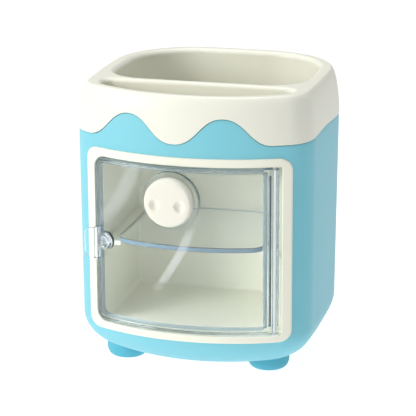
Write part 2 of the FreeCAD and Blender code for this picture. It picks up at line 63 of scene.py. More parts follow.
# %% Camera
AZIMUTH = math.radians(14.503)
ELEVATION = math.radians(16.181)
DISTANCE = 877.238
AIM = Vector((-2.569, SHIFT_Y, 65.129))
FOCAL_PIXELS = 1957.552
PICTURE_PIXELS = 416
SENSOR = 36.0
NEAR, FAR = 0.05, 20.0

camera_data = bpy.data.cameras.new("camera")
camera_data.sensor_width = SENSOR
camera_data.lens = FOCAL_PIXELS / PICTURE_PIXELS * SENSOR
camera_data.clip_start, camera_data.clip_end = NEAR, FAR
camera = bpy.data.objects.new("camera", camera_data)
towards_camera = Vector((math.sin(AZIMUTH) * math.cos(ELEVATION),
                         -math.cos(AZIMUTH) * math.cos(ELEVATION), math.sin(ELEVATION)))
camera.location = (AIM + towards_camera * DISTANCE) * MM
camera.rotation_euler = (-towards_camera).to_track_quat("-Z", "Y").to_euler()
bpy.context.scene.collection.objects.link(camera)
bpy.context.scene.camera = camera
print("lens", round(camera_data.lens, 1), "mm, camera", [round(v, 3) for v in camera.location])

# %% [markdown]
# ## The body's plan
#
# Seen from above the holder is a rounded shield: a bulged front, two tight front corners, two nearly
# straight sides, two wide rear corners and a flat back. Eight arcs that touch each other draw it.
# It narrows a little downwards, curls in to the base and curls in again at the top.

# %% Plan of the body
HEIGHT = 128.0
HALF_WIDTH = 52.9
HALF_DEPTH = 54.7
FRONT_LEAN = 0.02
SIDE_LEAN = 0.005
FRONT_RADIUS = 90.0
REAR_RADIUS = 350.0
SIDE_RADIUS = 600.0
FRONT_CORNER = 16.0
REAR_CORNER = 38.0
FOOT_HEIGHT = 4.0
BOTTOM_OUT = 28.0
BOTTOM_UP = 20.0
TOP_IN = 4.5
TOP_UP = 26.0
SKIRT_PROUD = 0.3
STRAIGHT_BOTTOM = FOOT_HEIGHT + BOTTOM_UP
STRAIGHT_TOP = HEIGHT - SKIRT_PROUD - TOP_UP


def corner_centre(face_y, face_radius, side_x, side_radius, corner):
    """Centre of a corner arc that touches the front or rear arc and the right side arc."""
    reach_face = face_radius - corner
    reach_side = side_radius - corner
    span = math.hypot(side_x, face_y)
    along = (reach_face ** 2 - reach_side ** 2 + span ** 2) / (2 * span)
    across = math.sqrt(reach_face ** 2 - along ** 2)
    turn = 1.0 if face_y > 0 else -1.0
    unit_x, unit_y = side_x / span, -face_y / span
    return along * unit_x - turn * across * unit_y, face_y + along * unit_y + turn * across * unit_x


def mirrored(arcs):
    """The same arcs on the left side, in travelling order."""
    return [(-x, y, r, math.pi - end, math.pi - start) for x, y, r, start, end in reversed(arcs)]


def plan_arcs(shrink, inset, level):
    """The plan's arcs as (x, y, radius, start, end), from the front's left end, all to the right."""
    drop = HEIGHT - level
    wide = HALF_WIDTH - SIDE_LEAN * drop - shrink
    deep = HALF_DEPTH - FRONT_LEAN * drop - shrink
    size = wide / HALF_WIDTH
    radii = (FRONT_RADIUS, REAR_RADIUS, SIDE_RADIUS, FRONT_CORNER, REAR_CORNER)
    front_r, rear_r, side_r, near_r, far_r = (radius * size for radius in radii)
    front, rear, side = (0.0, -deep + front_r), (0.0, deep - rear_r), (wide - side_r, 0.0)
    near = corner_centre(front[1], front_r, side[0], side_r, near_r)
    far = corner_centre(rear[1], rear_r, side[0], side_r, far_r)
    turn_front = math.atan2(near[1] - front[1], near[0] - front[0])
    turn_near = math.atan2(near[1] - side[1], near[0] - side[0])
    turn_far = math.atan2(far[1] - side[1], far[0] - side[0])
    turn_rear = math.atan2(far[1] - rear[1], far[0] - rear[0])
    right = [(*near, near_r - inset, turn_front, turn_near), (*side, side_r - inset, turn_near, turn_far),
             (*far, far_r - inset, turn_far, turn_rear)]
    front_arc = (*front, front_r - inset, -math.pi - turn_front, turn_front)
    rear_arc = (*rear, rear_r - inset, turn_rear, math.pi - turn_rear)
    return [front_arc] + right + [rear_arc] + mirrored(right)


def shrink_at(level, inset):
    """How far the curl at the base or at the top has drawn the plan in, at a height."""
    if level < STRAIGHT_BOTTOM:
        turn = math.asin(min(1.0, (STRAIGHT_BOTTOM - level) / (BOTTOM_UP - inset)))
        return (BOTTOM_OUT - inset) * (1 - math.cos(turn))
    if level > STRAIGHT_TOP:
        turn = math.asin(min(1.0, (level - STRAIGHT_TOP) / (TOP_UP - inset)))
        return TOP_IN * (1 - math.cos(turn))
    return 0.0


COLUMN_STEP = 0.9


def plan_columns():
    """Evenly spaced places round the plan, as (arc, share of the arc, distance from the front's middle)."""
    arcs = plan_arcs(0, 0, HEIGHT)
    lengths = [r * (end - start) for _, _, r, start, end in arcs]
    half_round = sum(lengths) / 2
    columns = []
    travelled = -lengths[0] / 2
    for index, length in enumerate(lengths):
        steps = max(2, round(length / COLUMN_STEP))
        for step in range(steps):
            place = travelled + length * step / steps
            columns.append((index, step / steps, place if place <= half_round else place - 2 * half_round))
        travelled += length
    return columns, half_round


COLUMNS, HALF_ROUND = plan_columns()


def skin_spot(column, level, inset):
    """A point of the body's skin, moved inwards by inset."""
    index, share, _ = COLUMNS[column]
    x, y, radius, start, end = plan_arcs(shrink_at(level, inset), inset, level)[index]
    turn = start + (end - start) * share
    return Vector((x + radius * math.cos(turn), y + radius * math.sin(turn), level))


print(len(COLUMNS), "columns round the body,", round(2 * HALF_ROUND, 1), "mm")

# %% [markdown]
# ## The wavy seam
#
# The cover meets the body along a line that is level at the back and sides and rises in two rounded
# crests at the front. Each crest is a raised cosine, so it starts and ends level and the seam has no
# kink. A small sine taken off the share makes the flanks steeper, and crest and trough rounder.

# %% Wave
WAVE_LEVEL = 107.7
CREST_HEIGHT = 11.4
CREST_WIDTH = 42.0
CREST_STEEPNESS = 0.032
FRONT_CRESTS = (-24.8, 17.5)
REAR_CREST = 20.7
SWELL_HEIGHT = 1.4
SWELL_WIDTH = 66.0
SWELL_PLACE = 78.0
CRESTS = [(place, CREST_WIDTH, CREST_HEIGHT) for place in FRONT_CRESTS]
CRESTS += [(side * (HALF_ROUND - REAR_CREST), CREST_WIDTH, CREST_HEIGHT) for side in (-1, 1)]
CRESTS += [(side * SWELL_PLACE, SWELL_WIDTH, SWELL_HEIGHT) for side in (-1, 1)]


def wave_level(place):
    level = WAVE_LEVEL
    for centre, width, rise in CRESTS:
        share = abs(place - centre) / (width / 2)
        if share < 1:
            share -= CREST_STEEPNESS * math.sin(2 * math.pi * share)
            level += rise * (0.5 + 0.5 * math.cos(math.pi * share))
    return level


print("wave from", WAVE_LEVEL, "to", round(max(wave_level(c[2]) for c in COLUMNS), 2), "mm")

# %% [markdown]
# ## A drawing tool: rings pulled along a section
#
# Most mouldings here are a closed outline that travels: up a wall, over a rounded rim, down the
# inside. So the main tool makes a circle of vertices, extrudes its edges row by row, and sets each
# new vertex by a small function of its row and column. The wall comes out in even four-sided faces,
# which shade smoothly.

# %% Rings
SAME_PLACE = 0.0001


def pull_rings(bm, count, rows, spot, first_cap=False, last_cap=False, closed=False):
    """Pulls a loop of count vertices through the rows; returns the first and the last loop's edges."""
    tag = bm.verts.layers.int.get("column") or bm.verts.layers.int.new("column")
    verts = bmesh.ops.create_circle(bm, segments=count, radius=1.0)["verts"]
    for index, vert in enumerate(verts):
        vert[tag] = index
        vert.co = spot(rows[0], index)
    first = list({edge for vert in verts for edge in vert.link_edges})
    edges = first
    for row in rows[1:]:
        made = bmesh.ops.extrude_edge_only(bm, edges=edges)["geom"]
        edges = [item for item in made if isinstance(item, bmesh.types.BMEdge) and item.is_boundary]
        for vert in (item for item in made if isinstance(item, bmesh.types.BMVert)):
            vert.co = spot(row, vert[tag])
    if first_cap:
        bmesh.ops.edgeloop_fill(bm, edges=first)
    if last_cap:
        bmesh.ops.edgeloop_fill(bm, edges=edges)
    if closed:
        bmesh.ops.remove_doubles(bm, verts=bm.verts, dist=SAME_PLACE)
    return first, edges


def pulled(count, rows, spot, **caps):
    """A new shape that is one set of rings."""
    bm = bmesh.new()
    pull_rings(bm, count, rows, spot, **caps)
    return bm


def quarter(steps, start=0.0, end=90.0):
    """Angles in radians from start to end degrees."""
    return [math.radians(start + (end - start) * step / steps) for step in range(steps + 1)]


def round_over(radius, steps, back=False):
    """Steps round a rounded edge, each as its distances from the two faces that meet there."""
    pairs = [(radius * (1 - math.sin(turn)), radius * (1 - math.cos(turn))) for turn in quarter(steps)]
    return pairs[::-1] if back else pairs


# %% [markdown]
# A drawn shape becomes a piece in two steps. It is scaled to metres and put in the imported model's
# place, with its faces turned outwards. Then it is shaded smooth with sharp edges kept, given its
# finish, and tied to the body it moves with.

# %% Store a piece
SMOOTH_ANGLE = math.radians(38)


def make_object(name, bm, skin=None):
    """An object in metres from a shape in millimetres, with its faces turned outwards.

    For an open skin, skin is a direction, and whether the farthest face that way looks that way too.
    """
    bmesh.ops.recalc_face_normals(bm, faces=bm.faces)
    if skin:
        probe, same_way = Vector(skin[0]), skin[1]
        farthest = max(bm.faces, key=lambda face: face.calc_center_median().dot(probe))
        if (farthest.normal.dot(probe) > 0) != same_way:
            bmesh.ops.reverse_faces(bm, faces=bm.faces)
    place = Matrix.Scale(MM, 4) @ Matrix.Translation((0, SHIFT_Y, 0))
    bmesh.ops.transform(bm, matrix=place, verts=bm.verts)
    mesh = bpy.data.meshes.new(name)
    bm.to_mesh(mesh)
    bm.free()
    obj = bpy.data.objects.new(name, mesh)
    bpy.context.scene.collection.objects.link(obj)
    return obj


def settle(obj):
    """Turns an object's modifiers into its mesh."""
    graph = bpy.context.evaluated_depsgraph_get()
    mesh = bpy.data.meshes.new_from_object(obj.evaluated_get(graph))
    obj.modifiers.clear()
    obj.data = mesh
    return obj


def thicken(obj, thickness, even):
    """Gives an open skin its wall, on the side that its faces look away from."""
    wall = obj.modifiers.new("wall", "SOLIDIFY")
    wall.thickness = thickness * MM
    wall.offset = -1.0
    wall.use_even_offset = even
    return settle(obj)


def combine(obj, shape, operation):
    """Cuts a shape out of an object, or adds it."""
    tool = make_object("tool", shape)
    cut = obj.modifiers.new("combine", "BOOLEAN")
    cut.operation = operation
    cut.solver = "EXACT"
    cut.object = tool
    bpy.context.view_layer.update()
    settle(obj)
    bpy.data.objects.remove(tool)
    return obj


def join(obj, shape):
    """Adds a shape to an object's mesh as a shell of its own."""
    other = make_object("other", shape)
    bm = bmesh.new()
    bm.from_mesh(obj.data)
    bm.from_mesh(other.data)
    bm.to_mesh(obj.data)
    bm.free()
    bpy.data.objects.remove(other)
    return obj


def finish_piece(obj, body, slot, material, *nodes):
    """Shades a piece, gives it its finish and ties it to its body."""
    obj.data.shade_smooth()
    obj.data.set_sharp_from_angle(angle=SMOOTH_ANGLE)
    weigh = obj.modifiers.new("even_normals", "WEIGHTED_NORMAL")
    weigh.keep_sharp = True
    settle(obj)
    obj.data.materials.clear()
    obj.data.materials.append(material)
    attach(obj, body)
    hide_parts(*nodes)
    size = obj.dimensions / MM
    print(obj.name, len(obj.data.polygons), "faces,", " x ".join(f"{v:.1f}" for v in size), "mm")
    return obj


# %% [markdown]
# ## Finishes
#
# Every finish is a node tree. A small class wraps a socket, so that the sums of a pattern read as
# plain arithmetic, and one method makes any other node.

# %% Shader helper
def operator(operation, swapped=False):
    """A method that adds a Math node for its value and another one."""
    def method(self, other):
        return self.combine(operation, *((other, self) if swapped else (self, other)))
    return method


class Value:
    """A socket that can be added, taken away, multiplied and raised."""

    def __init__(self, tree, socket):
        self.tree = tree
        self.socket = socket

    def combine(self, operation, first, second):
        node = self.tree.nodes.new("ShaderNodeMath")
        node.operation = operation
        for place, item in enumerate((first, second)):
            if isinstance(item, Value):
                self.tree.links.new(item.socket, node.inputs[place])
            else:
                node.inputs[place].default_value = item
        return Value(self.tree, node.outputs[0])

    def at_least(self, other):
        return self.combine("MAXIMUM", self, other)

    __add__ = operator("ADD")
    __radd__ = operator("ADD", swapped=True)
    __sub__ = operator("SUBTRACT")
    __rsub__ = operator("SUBTRACT", swapped=True)
    __mul__ = operator("MULTIPLY")
    __rmul__ = operator("MULTIPLY", swapped=True)
    __pow__ = operator("POWER")


class Finish:
    """A material under construction."""

    def __init__(self, name):
        self.material = bpy.data.materials.new(name)
        self.material.use_nodes = True
        self.tree = self.material.node_tree
        self.tree.nodes.clear()
        self.place = self.node("ShaderNodeTexCoord", output="Object")

    def node(self, kind, settings=None, inputs=None, output=0):
        """Makes a node, sets it up, feeds its sockets and returns one of its outputs."""
        node = self.tree.nodes.new(kind)
        for key, value in (settings or {}).items():
            setattr(node, key, value)
        for key, value in (inputs or {}).items():
            if isinstance(value, Value):
                self.tree.links.new(value.socket, node.inputs[key])
            else:
                node.inputs[key].default_value = value
        return Value(self.tree, node.outputs[output]) if node.outputs else None

    def noise(self, scale, detail=2.0, roughness=0.5):
        return self.node("ShaderNodeTexNoise", None,
                         {"Vector": self.place, "Scale": scale, "Detail": detail, "Roughness": roughness})

    def stretched_noise(self, stretch, detail, turn=(0.0, 0.0, 0.0)):
        """Noise that is finer along one axis than along another."""
        place = self.node("ShaderNodeMapping", None,
                          {"Vector": self.place, "Rotation": turn, "Scale": stretch})
        return self.node("ShaderNodeTexNoise", None, {"Vector": place, "Scale": 1.0, "Detail": detail})

    def part(self, vector, axis):
        """One number of a vector."""
        return self.node("ShaderNodeSeparateXYZ", None, {"Vector": vector}, axis)

    def blend(self, amount, first, second):
        """A colour between two colours."""
        return self.node("ShaderNodeMix", {"data_type": "RGBA"},
                         {"Factor": amount, 6: (*first, 1.0), 7: (*second, 1.0)}, output=2)

    def bump(self, height, depth_mm, strength, normal=None):
        inputs = {"Height": height, "Distance": depth_mm * MM, "Strength": strength}
        if normal is not None:
            inputs["Normal"] = normal
        return self.node("ShaderNodeBump", None, inputs)

    def principled(self, **inputs):
        """The main shader; its sockets are named with underscores for spaces."""
        return self.node("ShaderNodeBsdfPrincipled", None,
                         {key.replace("_", " "): value for key, value in inputs.items()})

    def mix(self, factor, first, second):
        return self.node("ShaderNodeMixShader", None, {0: factor, 1: first, 2: second})

    def close(self, surface, **others):
        """Ends the tree and gives the material."""
        self.node("ShaderNodeOutputMaterial", None, {"Surface": surface, **others})
        return self.material


# %% [markdown]
# ### Moulded plastic
#
# The blue body and the cream cover are satin mouldings. A real one isn't one flat colour: the resin
# runs a shade lighter and darker over centimetres, the mould leaves a fine even grain that breaks up
# the gloss, and the surface is very slightly wavy. A little light also goes into the plastic.

# %% Satin plastic
CLOUD, SPECK, GRAIN, RIPPLE, SCUFF = 22.0, 900.0, 2600.0, 45.0, 160.0
RIPPLE_DEPTH = 0.12
GLOW_REACH = 0.0025


def satin_plastic(name, light, deep, roughness, refraction, grain_mm, glow, glow_radius):
    finish = Finish(name)
    cloud = finish.noise(CLOUD, 3.0)
    tone = cloud * 0.8 + finish.noise(SPECK) * 0.2
    gloss = roughness - 0.06 + cloud * 0.05 + finish.noise(SCUFF, 4.0, 0.7) * 0.07
    waves = finish.bump(finish.noise(RIPPLE, 1.0), RIPPLE_DEPTH, 0.35)
    skin = finish.bump(finish.noise(GRAIN, 2.0, 0.6), grain_mm, 0.5, waves)
    return finish.close(finish.principled(
        Base_Color=finish.blend(tone, deep, light), Roughness=gloss, Normal=skin, IOR=refraction,
        Subsurface_Weight=glow, Subsurface_Radius=glow_radius, Subsurface_Scale=GLOW_REACH))


BLUE = satin_plastic("sky_blue_satin", (0.245, 0.640, 0.750), (0.215, 0.600, 0.715), roughness=0.44,
                     refraction=1.32, grain_mm=0.02, glow=0.10, glow_radius=(0.4, 0.8, 1.0))
CREAM = satin_plastic("cream_satin", (0.885, 0.887, 0.790), (0.852, 0.854, 0.752), roughness=0.40,
                      refraction=1.40, grain_mm=0.018, glow=0.14, glow_radius=(1.0, 0.8, 0.5))
# The frame and cabinet moulding uses a lighter, greener copy of the cream: painted light that brightens the
# inside of the cabinet.
CABINET_CREAM_PAINTED_LIGHT = satin_plastic("cream_cabinet_painted_light", (0.945, 0.942, 0.808), (0.920, 0.917, 0.778), roughness=0.42,
                              refraction=1.40, grain_mm=0.018, glow=0.10, glow_radius=(1.0, 0.9, 0.6))
KNOB_CREAM = satin_plastic("cream_knob", (0.850, 0.845, 0.760), (0.820, 0.815, 0.725), roughness=0.36,
                           refraction=1.45, grain_mm=0.012, glow=0.16, glow_radius=(1.0, 0.8, 0.5))
# The feet use a darker, deeper copy of the body's blue: painted shade for the feet in the shadow under the
# body.
FOOT_BLUE_PAINTED_SHADE = satin_plastic("sky_blue_soft_painted_shade", (0.125, 0.500, 0.640), (0.100, 0.465, 0.600), roughness=0.56,
                          refraction=1.32, grain_mm=0.035, glow=0.06, glow_radius=(0.4, 0.8, 1.0))

# %% [markdown]
# ### Clear plastic
#
# Door, tab, stud, collar and shelf are clear polished plastic. It bends light, which draws their
# bright and dark edges. Light that comes a long way through the plastic turns a little bluer. Over
# that, the rim faces carry painted edge shade: a pale blue tint and a glossy blue-grey coat. Handling
# leaves a thin haze of fine scratches, and the moulded faces have a slow ripple that makes
# reflections wander. Two soft slanting bands of painted light lie on the door, lighter than the
# plastic round them.

# %% Clear plastic
CLEAR_REFRACTION = 1.49
CLEAR_TINT = (0.985, 0.992, 0.995)
CLEAR_HAZE = 0.012
LONG_WAY_COLOUR = (0.45, 0.70, 0.86, 1.0)
LONG_WAY_DENSITY = 30.0
# Blue-greys of the painted edge shade on the rim faces of the clear pieces.
PAINTED_EDGE_LIGHT, PAINTED_EDGE_DEEP = (0.33, 0.47, 0.57), (0.15, 0.27, 0.36)
# White of the two bands of painted light on the door, and their slant and bow.
PAINTED_STREAK_WHITE = (0.93, 0.96, 0.97, 1.0)
STREAK_SLANT, STREAK_CURVE = 0.54, 8.0
SMEAR_AND_STREAK_SCALE, CLEAR_RIPPLE = 38.0, 20.0
SCRATCH_STRETCH, SCRATCH_TURN = (1400.0, 60.0, 60.0), (0.0, 0.6, 0.0)
# Pale blue tints of the painted edge shade, for the small pieces and door, and for the shelf.
PAINTED_EDGE_PALE_BLUE, PAINTED_SHELF_EDGE_BLUE = (0.80, 0.89, 0.94), (0.60, 0.76, 0.86)


def painted_light_streak(finish, smear_and_streak, x, z, half_width, half_length, strength):
    """A soft slanting band of painted light in XZ, in metres, that fades out at its sides and ends."""
    up = finish.part(finish.place, "Z") - z
    across = (finish.part(finish.place, "X") - x - up * STREAK_SLANT + up * up * STREAK_CURVE) * (1 / half_width)
    lengthwise = up * (1 / half_length)
    side = (1.0 - across * across).at_least(0.0)
    ends = (1.0 - lengthwise * lengthwise).at_least(0.0)
    return side * ends * (0.6 + smear_and_streak * 0.8) * strength


def clear_plastic(name, across, painted_edge_tint, painted_edge_cover, painted_edge_focus, painted_light_streaks=()):
    """Clear plastic for a plate whose thin direction is the axis called across, with painted shade on its
    rim faces.
    """
    finish = Finish(name)
    facing = finish.part(finish.node("ShaderNodeTexCoord", output="Normal"), across)
    # Mask of the rim faces, whose normals lie across the thin direction; it places the painted edge shade.
    edge = (1.0 - facing * facing) ** painted_edge_focus
    smear_and_streak = finish.noise(SMEAR_AND_STREAK_SCALE, 4.0, 0.6)
    scratches = finish.stretched_noise(SCRATCH_STRETCH, 2.0, SCRATCH_TURN)
    haze = CLEAR_HAZE + smear_and_streak * 0.02 + scratches ** 4.0 * 0.025
    skin = finish.bump(finish.noise(CLEAR_RIPPLE, 1.0), 0.10, 0.10)
    clear_body = finish.principled(
        Base_Color=finish.blend(edge * (0.8 + smear_and_streak * 0.2), CLEAR_TINT, painted_edge_tint), Roughness=haze,
        Normal=skin, IOR=CLEAR_REFRACTION, Transmission_Weight=1.0)
    # Painted edge shade: an opaque glossy blue-grey mixed over part of the rim faces.
    painted_edge_body = finish.principled(Base_Color=finish.blend(smear_and_streak, PAINTED_EDGE_DEEP, PAINTED_EDGE_LIGHT), Normal=skin,
                                  Roughness=haze + 0.08, IOR=CLEAR_REFRACTION)
    shader = finish.mix(edge * painted_edge_cover, clear_body, painted_edge_body)
    # Bands of painted light: a white diffuse film mixed over the door in slanting bands.
    for streak in painted_light_streaks:
        streak_light = finish.node("ShaderNodeBsdfDiffuse", None, {"Color": PAINTED_STREAK_WHITE})
        shader = finish.mix(painted_light_streak(finish, smear_and_streak, *streak), shader, streak_light)
    shadow = finish.node("ShaderNodeLightPath", output="Is Shadow Ray")
    see_through = finish.node("ShaderNodeBsdfTransparent", None, {"Color": (*CLEAR_TINT, 1.0)})
    volume = finish.node("ShaderNodeVolumeAbsorption", None,
                         {"Color": LONG_WAY_COLOUR, "Density": LONG_WAY_DENSITY})
    return finish.close(finish.mix(shadow, shader, see_through), Volume=volume)


CLEAR = clear_plastic("clear_polished", "Y", PAINTED_EDGE_PALE_BLUE, painted_edge_cover=0.30, painted_edge_focus=4.0)
# The door carries two slanting bands of painted light.
CLEAR_DOOR = clear_plastic("clear_door_polished", "Y", PAINTED_EDGE_PALE_BLUE, painted_edge_cover=0.30, painted_edge_focus=4.0,
                           painted_light_streaks=[(-0.002, 0.058, 0.0026, 0.016, 0.24),
                                       (-0.025, 0.088, 0.0050, 0.022, 0.10)])
CLEAR_FLAT = clear_plastic("clear_shelf_polished", "Z", PAINTED_SHELF_EDGE_BLUE, painted_edge_cover=0.75, painted_edge_focus=3.0)

# %% [markdown]
# ### Steel
#
# The hinge rod is drawn wire: fine lines run along it. The screws are zinc plated, with a dull
# mottled gloss.

# %% Steel
MOTTLE = 700.0


def steel(name, light, deep, roughness, line_scale):
    finish = Finish(name)
    lines = finish.stretched_noise(line_scale, 3.0)
    mottle = finish.noise(MOTTLE, 3.0)
    return finish.close(finish.principled(
        Base_Color=finish.blend(lines * 0.6 + mottle * 0.4, deep, light),
        Roughness=roughness + lines * 0.12 - 0.06, Metallic=1.0, Normal=finish.bump(lines, 0.01, 0.4)))


ROD_STEEL = steel("drawn_steel", (0.86, 0.87, 0.88), (0.72, 0.73, 0.74), 0.34, (4000.0, 4000.0, 60.0))
SCREW_STEEL = steel("zinc_plate", (0.70, 0.70, 0.69), (0.55, 0.56, 0.57), 0.38, (900.0, 900.0, 900.0))

# %% [markdown]
# ## The blue body
#
# One moulding: a flat base, a wide curl up into the wall, and a wall that ends in the wavy lip. Its
# section is pulled round the plan as one closed skin, out and up, over the lip, and back down
# inside, so it has a real wall. Behind the seam stands a low neck that the cover slides over.

# %% Blue body
SHELL_WALL = 2.55
SEAM_GAP = 0.3
LIP_ROUND = 0.45
WAVE_ROWS_FROM = 98.0
LEVEL_ROWS, SHARE_ROWS = 8, 9
NECK_LOW, NECK_TOP = 99.0, 116.0
NECK_OUT, NECK_IN = 2.45, 4.35


def wall_rows(inset, rows_up):
    """Rows of the skin from the base to just under the lip."""
    rows = [("level", STRAIGHT_BOTTOM - (BOTTOM_UP - inset) * math.sin(turn), inset)
            for turn in reversed(quarter(rows_up))]
    rows += [("level", STRAIGHT_BOTTOM + (WAVE_ROWS_FROM - STRAIGHT_BOTTOM) * step / LEVEL_ROWS, inset)
             for step in range(1, LEVEL_ROWS + 1)]
    return rows + [("share", step / SHARE_ROWS, inset) for step in range(1, SHARE_ROWS + 1)]


def shell_spot(row, column):
    """A vertex of the body: at a level, at a share of the way to the lip, or just under the lip."""
    kind, value, inset = row
    lip = wave_level(COLUMNS[column][2]) - SEAM_GAP / 2
    if kind == "lip":
        value = lip - value
    elif kind == "share":
        value = WAVE_ROWS_FROM + (lip - LIP_ROUND - WAVE_ROWS_FROM) * value
    return skin_spot(column, value, inset)


def make_shell():
    over = [("lip", down, inwards) for down, inwards in round_over(LIP_ROUND, 3)]
    over += [("lip", down, SHELL_WALL - inwards) for down, inwards in round_over(LIP_ROUND, 3, back=True)]
    rows = wall_rows(0.0, 15) + over[1:-1] + wall_rows(SHELL_WALL, 8)[::-1]
    shape = pulled(len(COLUMNS), rows, shell_spot, first_cap=True, last_cap=True)
    return make_object("body_shell", shape)


def neck_shape():
    corners = [(NECK_LOW, NECK_OUT), (NECK_TOP, NECK_OUT), (NECK_TOP, NECK_IN), (NECK_LOW, NECK_IN)]
    rows = [("level", *corner) for corner in corners + corners[:1]]
    return pulled(len(COLUMNS), rows, shell_spot, closed=True)


# %% [markdown]
# The window for the cabinet is a rounded panel cut through the front wall. Its edge hides under the
# cream frame.

# %% Rounded panels
def trace(segments, step):
    """Samples (x, y, outward x, outward y) along arcs and lines, which turn to the left."""
    samples = []
    for segment in segments:
        if segment[0] == "line":
            _, x0, y0, x1, y1 = segment
            length = math.hypot(x1 - x0, y1 - y0)
            count = max(1, round(length / step))
            out = ((y1 - y0) / length, -(x1 - x0) / length)
            for index in range(count):
                share = index / count
                samples.append((x0 + (x1 - x0) * share, y0 + (y1 - y0) * share, *out))
        else:
            x, y, radius, start, end = segment
            count = max(3, round(radius * (end - start) / step))
            for index in range(count):
                turn = start + (end - start) * index / count
                samples.append((x + radius * math.cos(turn), y + radius * math.sin(turn),
                                math.cos(turn), math.sin(turn)))
    return samples


def panel_segments(bounds, left_corner, right_corner):
    """A rectangle (left, right, low, high) with rounded corners, from its lower left corner on."""
    left, right, low, high = bounds
    corners = [(right, low, right_corner, -1, 1, -90), (right, high, right_corner, -1, -1, 0),
               (left, high, left_corner, 1, -1, 90), (left, low, left_corner, 1, 1, 180)]
    segments = []
    start = (left + left_corner, low)
    for x, y, corner, to_x, to_y, turn in corners:
        centre = (x + to_x * corner, y + to_y * corner)
        first, last = math.radians(turn), math.radians(turn) + math.pi / 2
        touch = (centre[0] + corner * math.cos(first), centre[1] + corner * math.sin(first))
        segments += [("line", *start, *touch), (*centre, corner, first, last)]
        start = (centre[0] + corner * math.cos(last), centre[1] + corner * math.sin(last))
    return segments


def grown(bounds, gap):
    """A rectangle's bounds, moved outwards by a gap."""
    left, right, low, high = bounds
    return left - gap, right + gap, low - gap, high + gap


def outline_spot(outline, upright=False):
    """A function that places a vertex at an outward offset from an outline, at a height or a depth."""
    def spot(row, index):
        offset, third = row
        first, second, out_first, out_second = outline[index]
        first, second = first + out_first * offset, second + out_second * offset
        return Vector((first, third, second) if upright else (first, second, third))
    return spot


FRAME = (-45.0, 45.0, 20.5, 102.3)
RECESS = (-41.0, 41.0, 23.8, 98.6)
WINDOW_GAP = 2.0
WINDOW_CORNER = 5.0
WINDOW_STEP = 2.0
WINDOW_DEPTHS = (-90.0, -15.0)


def window_shape():
    outline = trace(panel_segments(grown(RECESS, WINDOW_GAP), WINDOW_CORNER, WINDOW_CORNER), WINDOW_STEP)
    rows = [(0.0, depth) for depth in WINDOW_DEPTHS]
    return pulled(len(outline), rows, outline_spot(outline, upright=True), first_cap=True, last_cap=True)


body_shell = combine(make_shell(), window_shape(), "DIFFERENCE")
combine(body_shell, neck_shape(), "UNION")
finish_piece(body_shell, "body", "body_plastic", BLUE, "outer_shell")

# %% [markdown]
# ## The cream cover
#
# The cover is one thin moulding: a skirt that follows the wave, a top that curls over into a thick
# looking rim, and compartments that hang from the rim. It is drawn as a single skin, loop by loop,
# and then given its wall. The compartments' outlines are the plan moved inwards and closed off by a
# straight line, with a rounded corner where the line meets the side.

# %% Compartment outlines
OUTLINE_STEP = 1.1


def compartment(wall, line_y, corner, narrowing, behind):
    """Samples round a compartment that lies behind or before a line across the plan."""
    arcs = plan_arcs(0, wall, HEIGHT)
    centre_y = line_y + (corner if behind else -corner)
    for index in (1, 2, 3):
        x, y, radius, start, end = arcs[index]
        reach = radius - corner
        if reach <= abs(centre_y - y):
            continue
        centre_x = x + math.sqrt(reach ** 2 - (centre_y - y) ** 2)
        touch = math.atan2(centre_y - y, centre_x - x)
        if start <= touch <= end:
            break
    if behind:
        right = [(centre_x, centre_y, corner, -math.pi / 2, touch), (x, y, radius, touch, end)]
        right += arcs[index + 1:4]
        segments = [("line", -centre_x, line_y, centre_x, line_y)] + right + [arcs[4]] + mirrored(right)
    else:
        right = arcs[1:index] + [(x, y, radius, start, touch)]
        right.append((centre_x, centre_y, corner, touch, math.pi / 2))
        segments = [arcs[0]] + right + [("line", centre_x, line_y, -centre_x, line_y)] + mirrored(right)
    return [(x * narrowing, y, out_x, out_y) for x, y, out_x, out_y in trace(segments, OUTLINE_STEP)]


DIVIDER_BACK, SLOT_BACK, WELL_FRONT = -20.5, -25.5, 16.1
REAR_OUTLINE = compartment(wall=8.2, line_y=DIVIDER_BACK, corner=17.0, narrowing=0.97, behind=True)
SLOT_OUTLINE = compartment(wall=7.6, line_y=SLOT_BACK, corner=4.5, narrowing=0.945, behind=False)
WELL_OUTLINE = compartment(wall=9.0, line_y=WELL_FRONT, corner=5.0, narrowing=0.97, behind=True)
print("outlines", len(REAR_OUTLINE), len(SLOT_OUTLINE), len(WELL_OUTLINE), "points")

# %% Cover
RIM_ROUND, SLOT_ROUND, WELL_RIM_ROUND, FLOOR_ROUND = 2.3, 1.8, 0.45, 2.5
STEP_FLOOR, SLOT_FLOOR, WELL_FLOOR = 100.5, 103.0, 20.4
REAR_LEVELS, SLOT_LEVELS, WELL_LEVELS = (118.0, 109.0, STEP_FLOOR), (117.0,), (75.0, 50.0)
COVER_WALL = 1.8
COVER_EDGE = 0.35
COVER_SHARP = math.radians(55)
SKIRT_ROWS, CROWN_ROWS = 10, 16
CROWN_FROM = 121.0
CROWN_UP = TOP_UP + SKIRT_PROUD


def cover_spot(row, column):
    kind, value = row
    foot = wave_level(COLUMNS[column][2]) + SEAM_GAP / 2
    level = foot + (CROWN_FROM - foot) * value if kind == "share" else value
    return skin_spot(column, level, -SKIRT_PROUD)


def hollow(bm, outline, top, rim, steps, levels, floor=None):
    """Pulls a hollow down from its rounded rim; returns its highest and its lowest edges."""
    rows = [(out, top - down) for out, down in round_over(rim, steps)] + [(0.0, level) for level in levels]
    if floor is not None:
        rows += [(-inwards, floor + up) for up, inwards in round_over(FLOOR_ROUND, 5)]
    return pull_rings(bm, len(outline), rows, outline_spot(outline), last_cap=floor is not None)


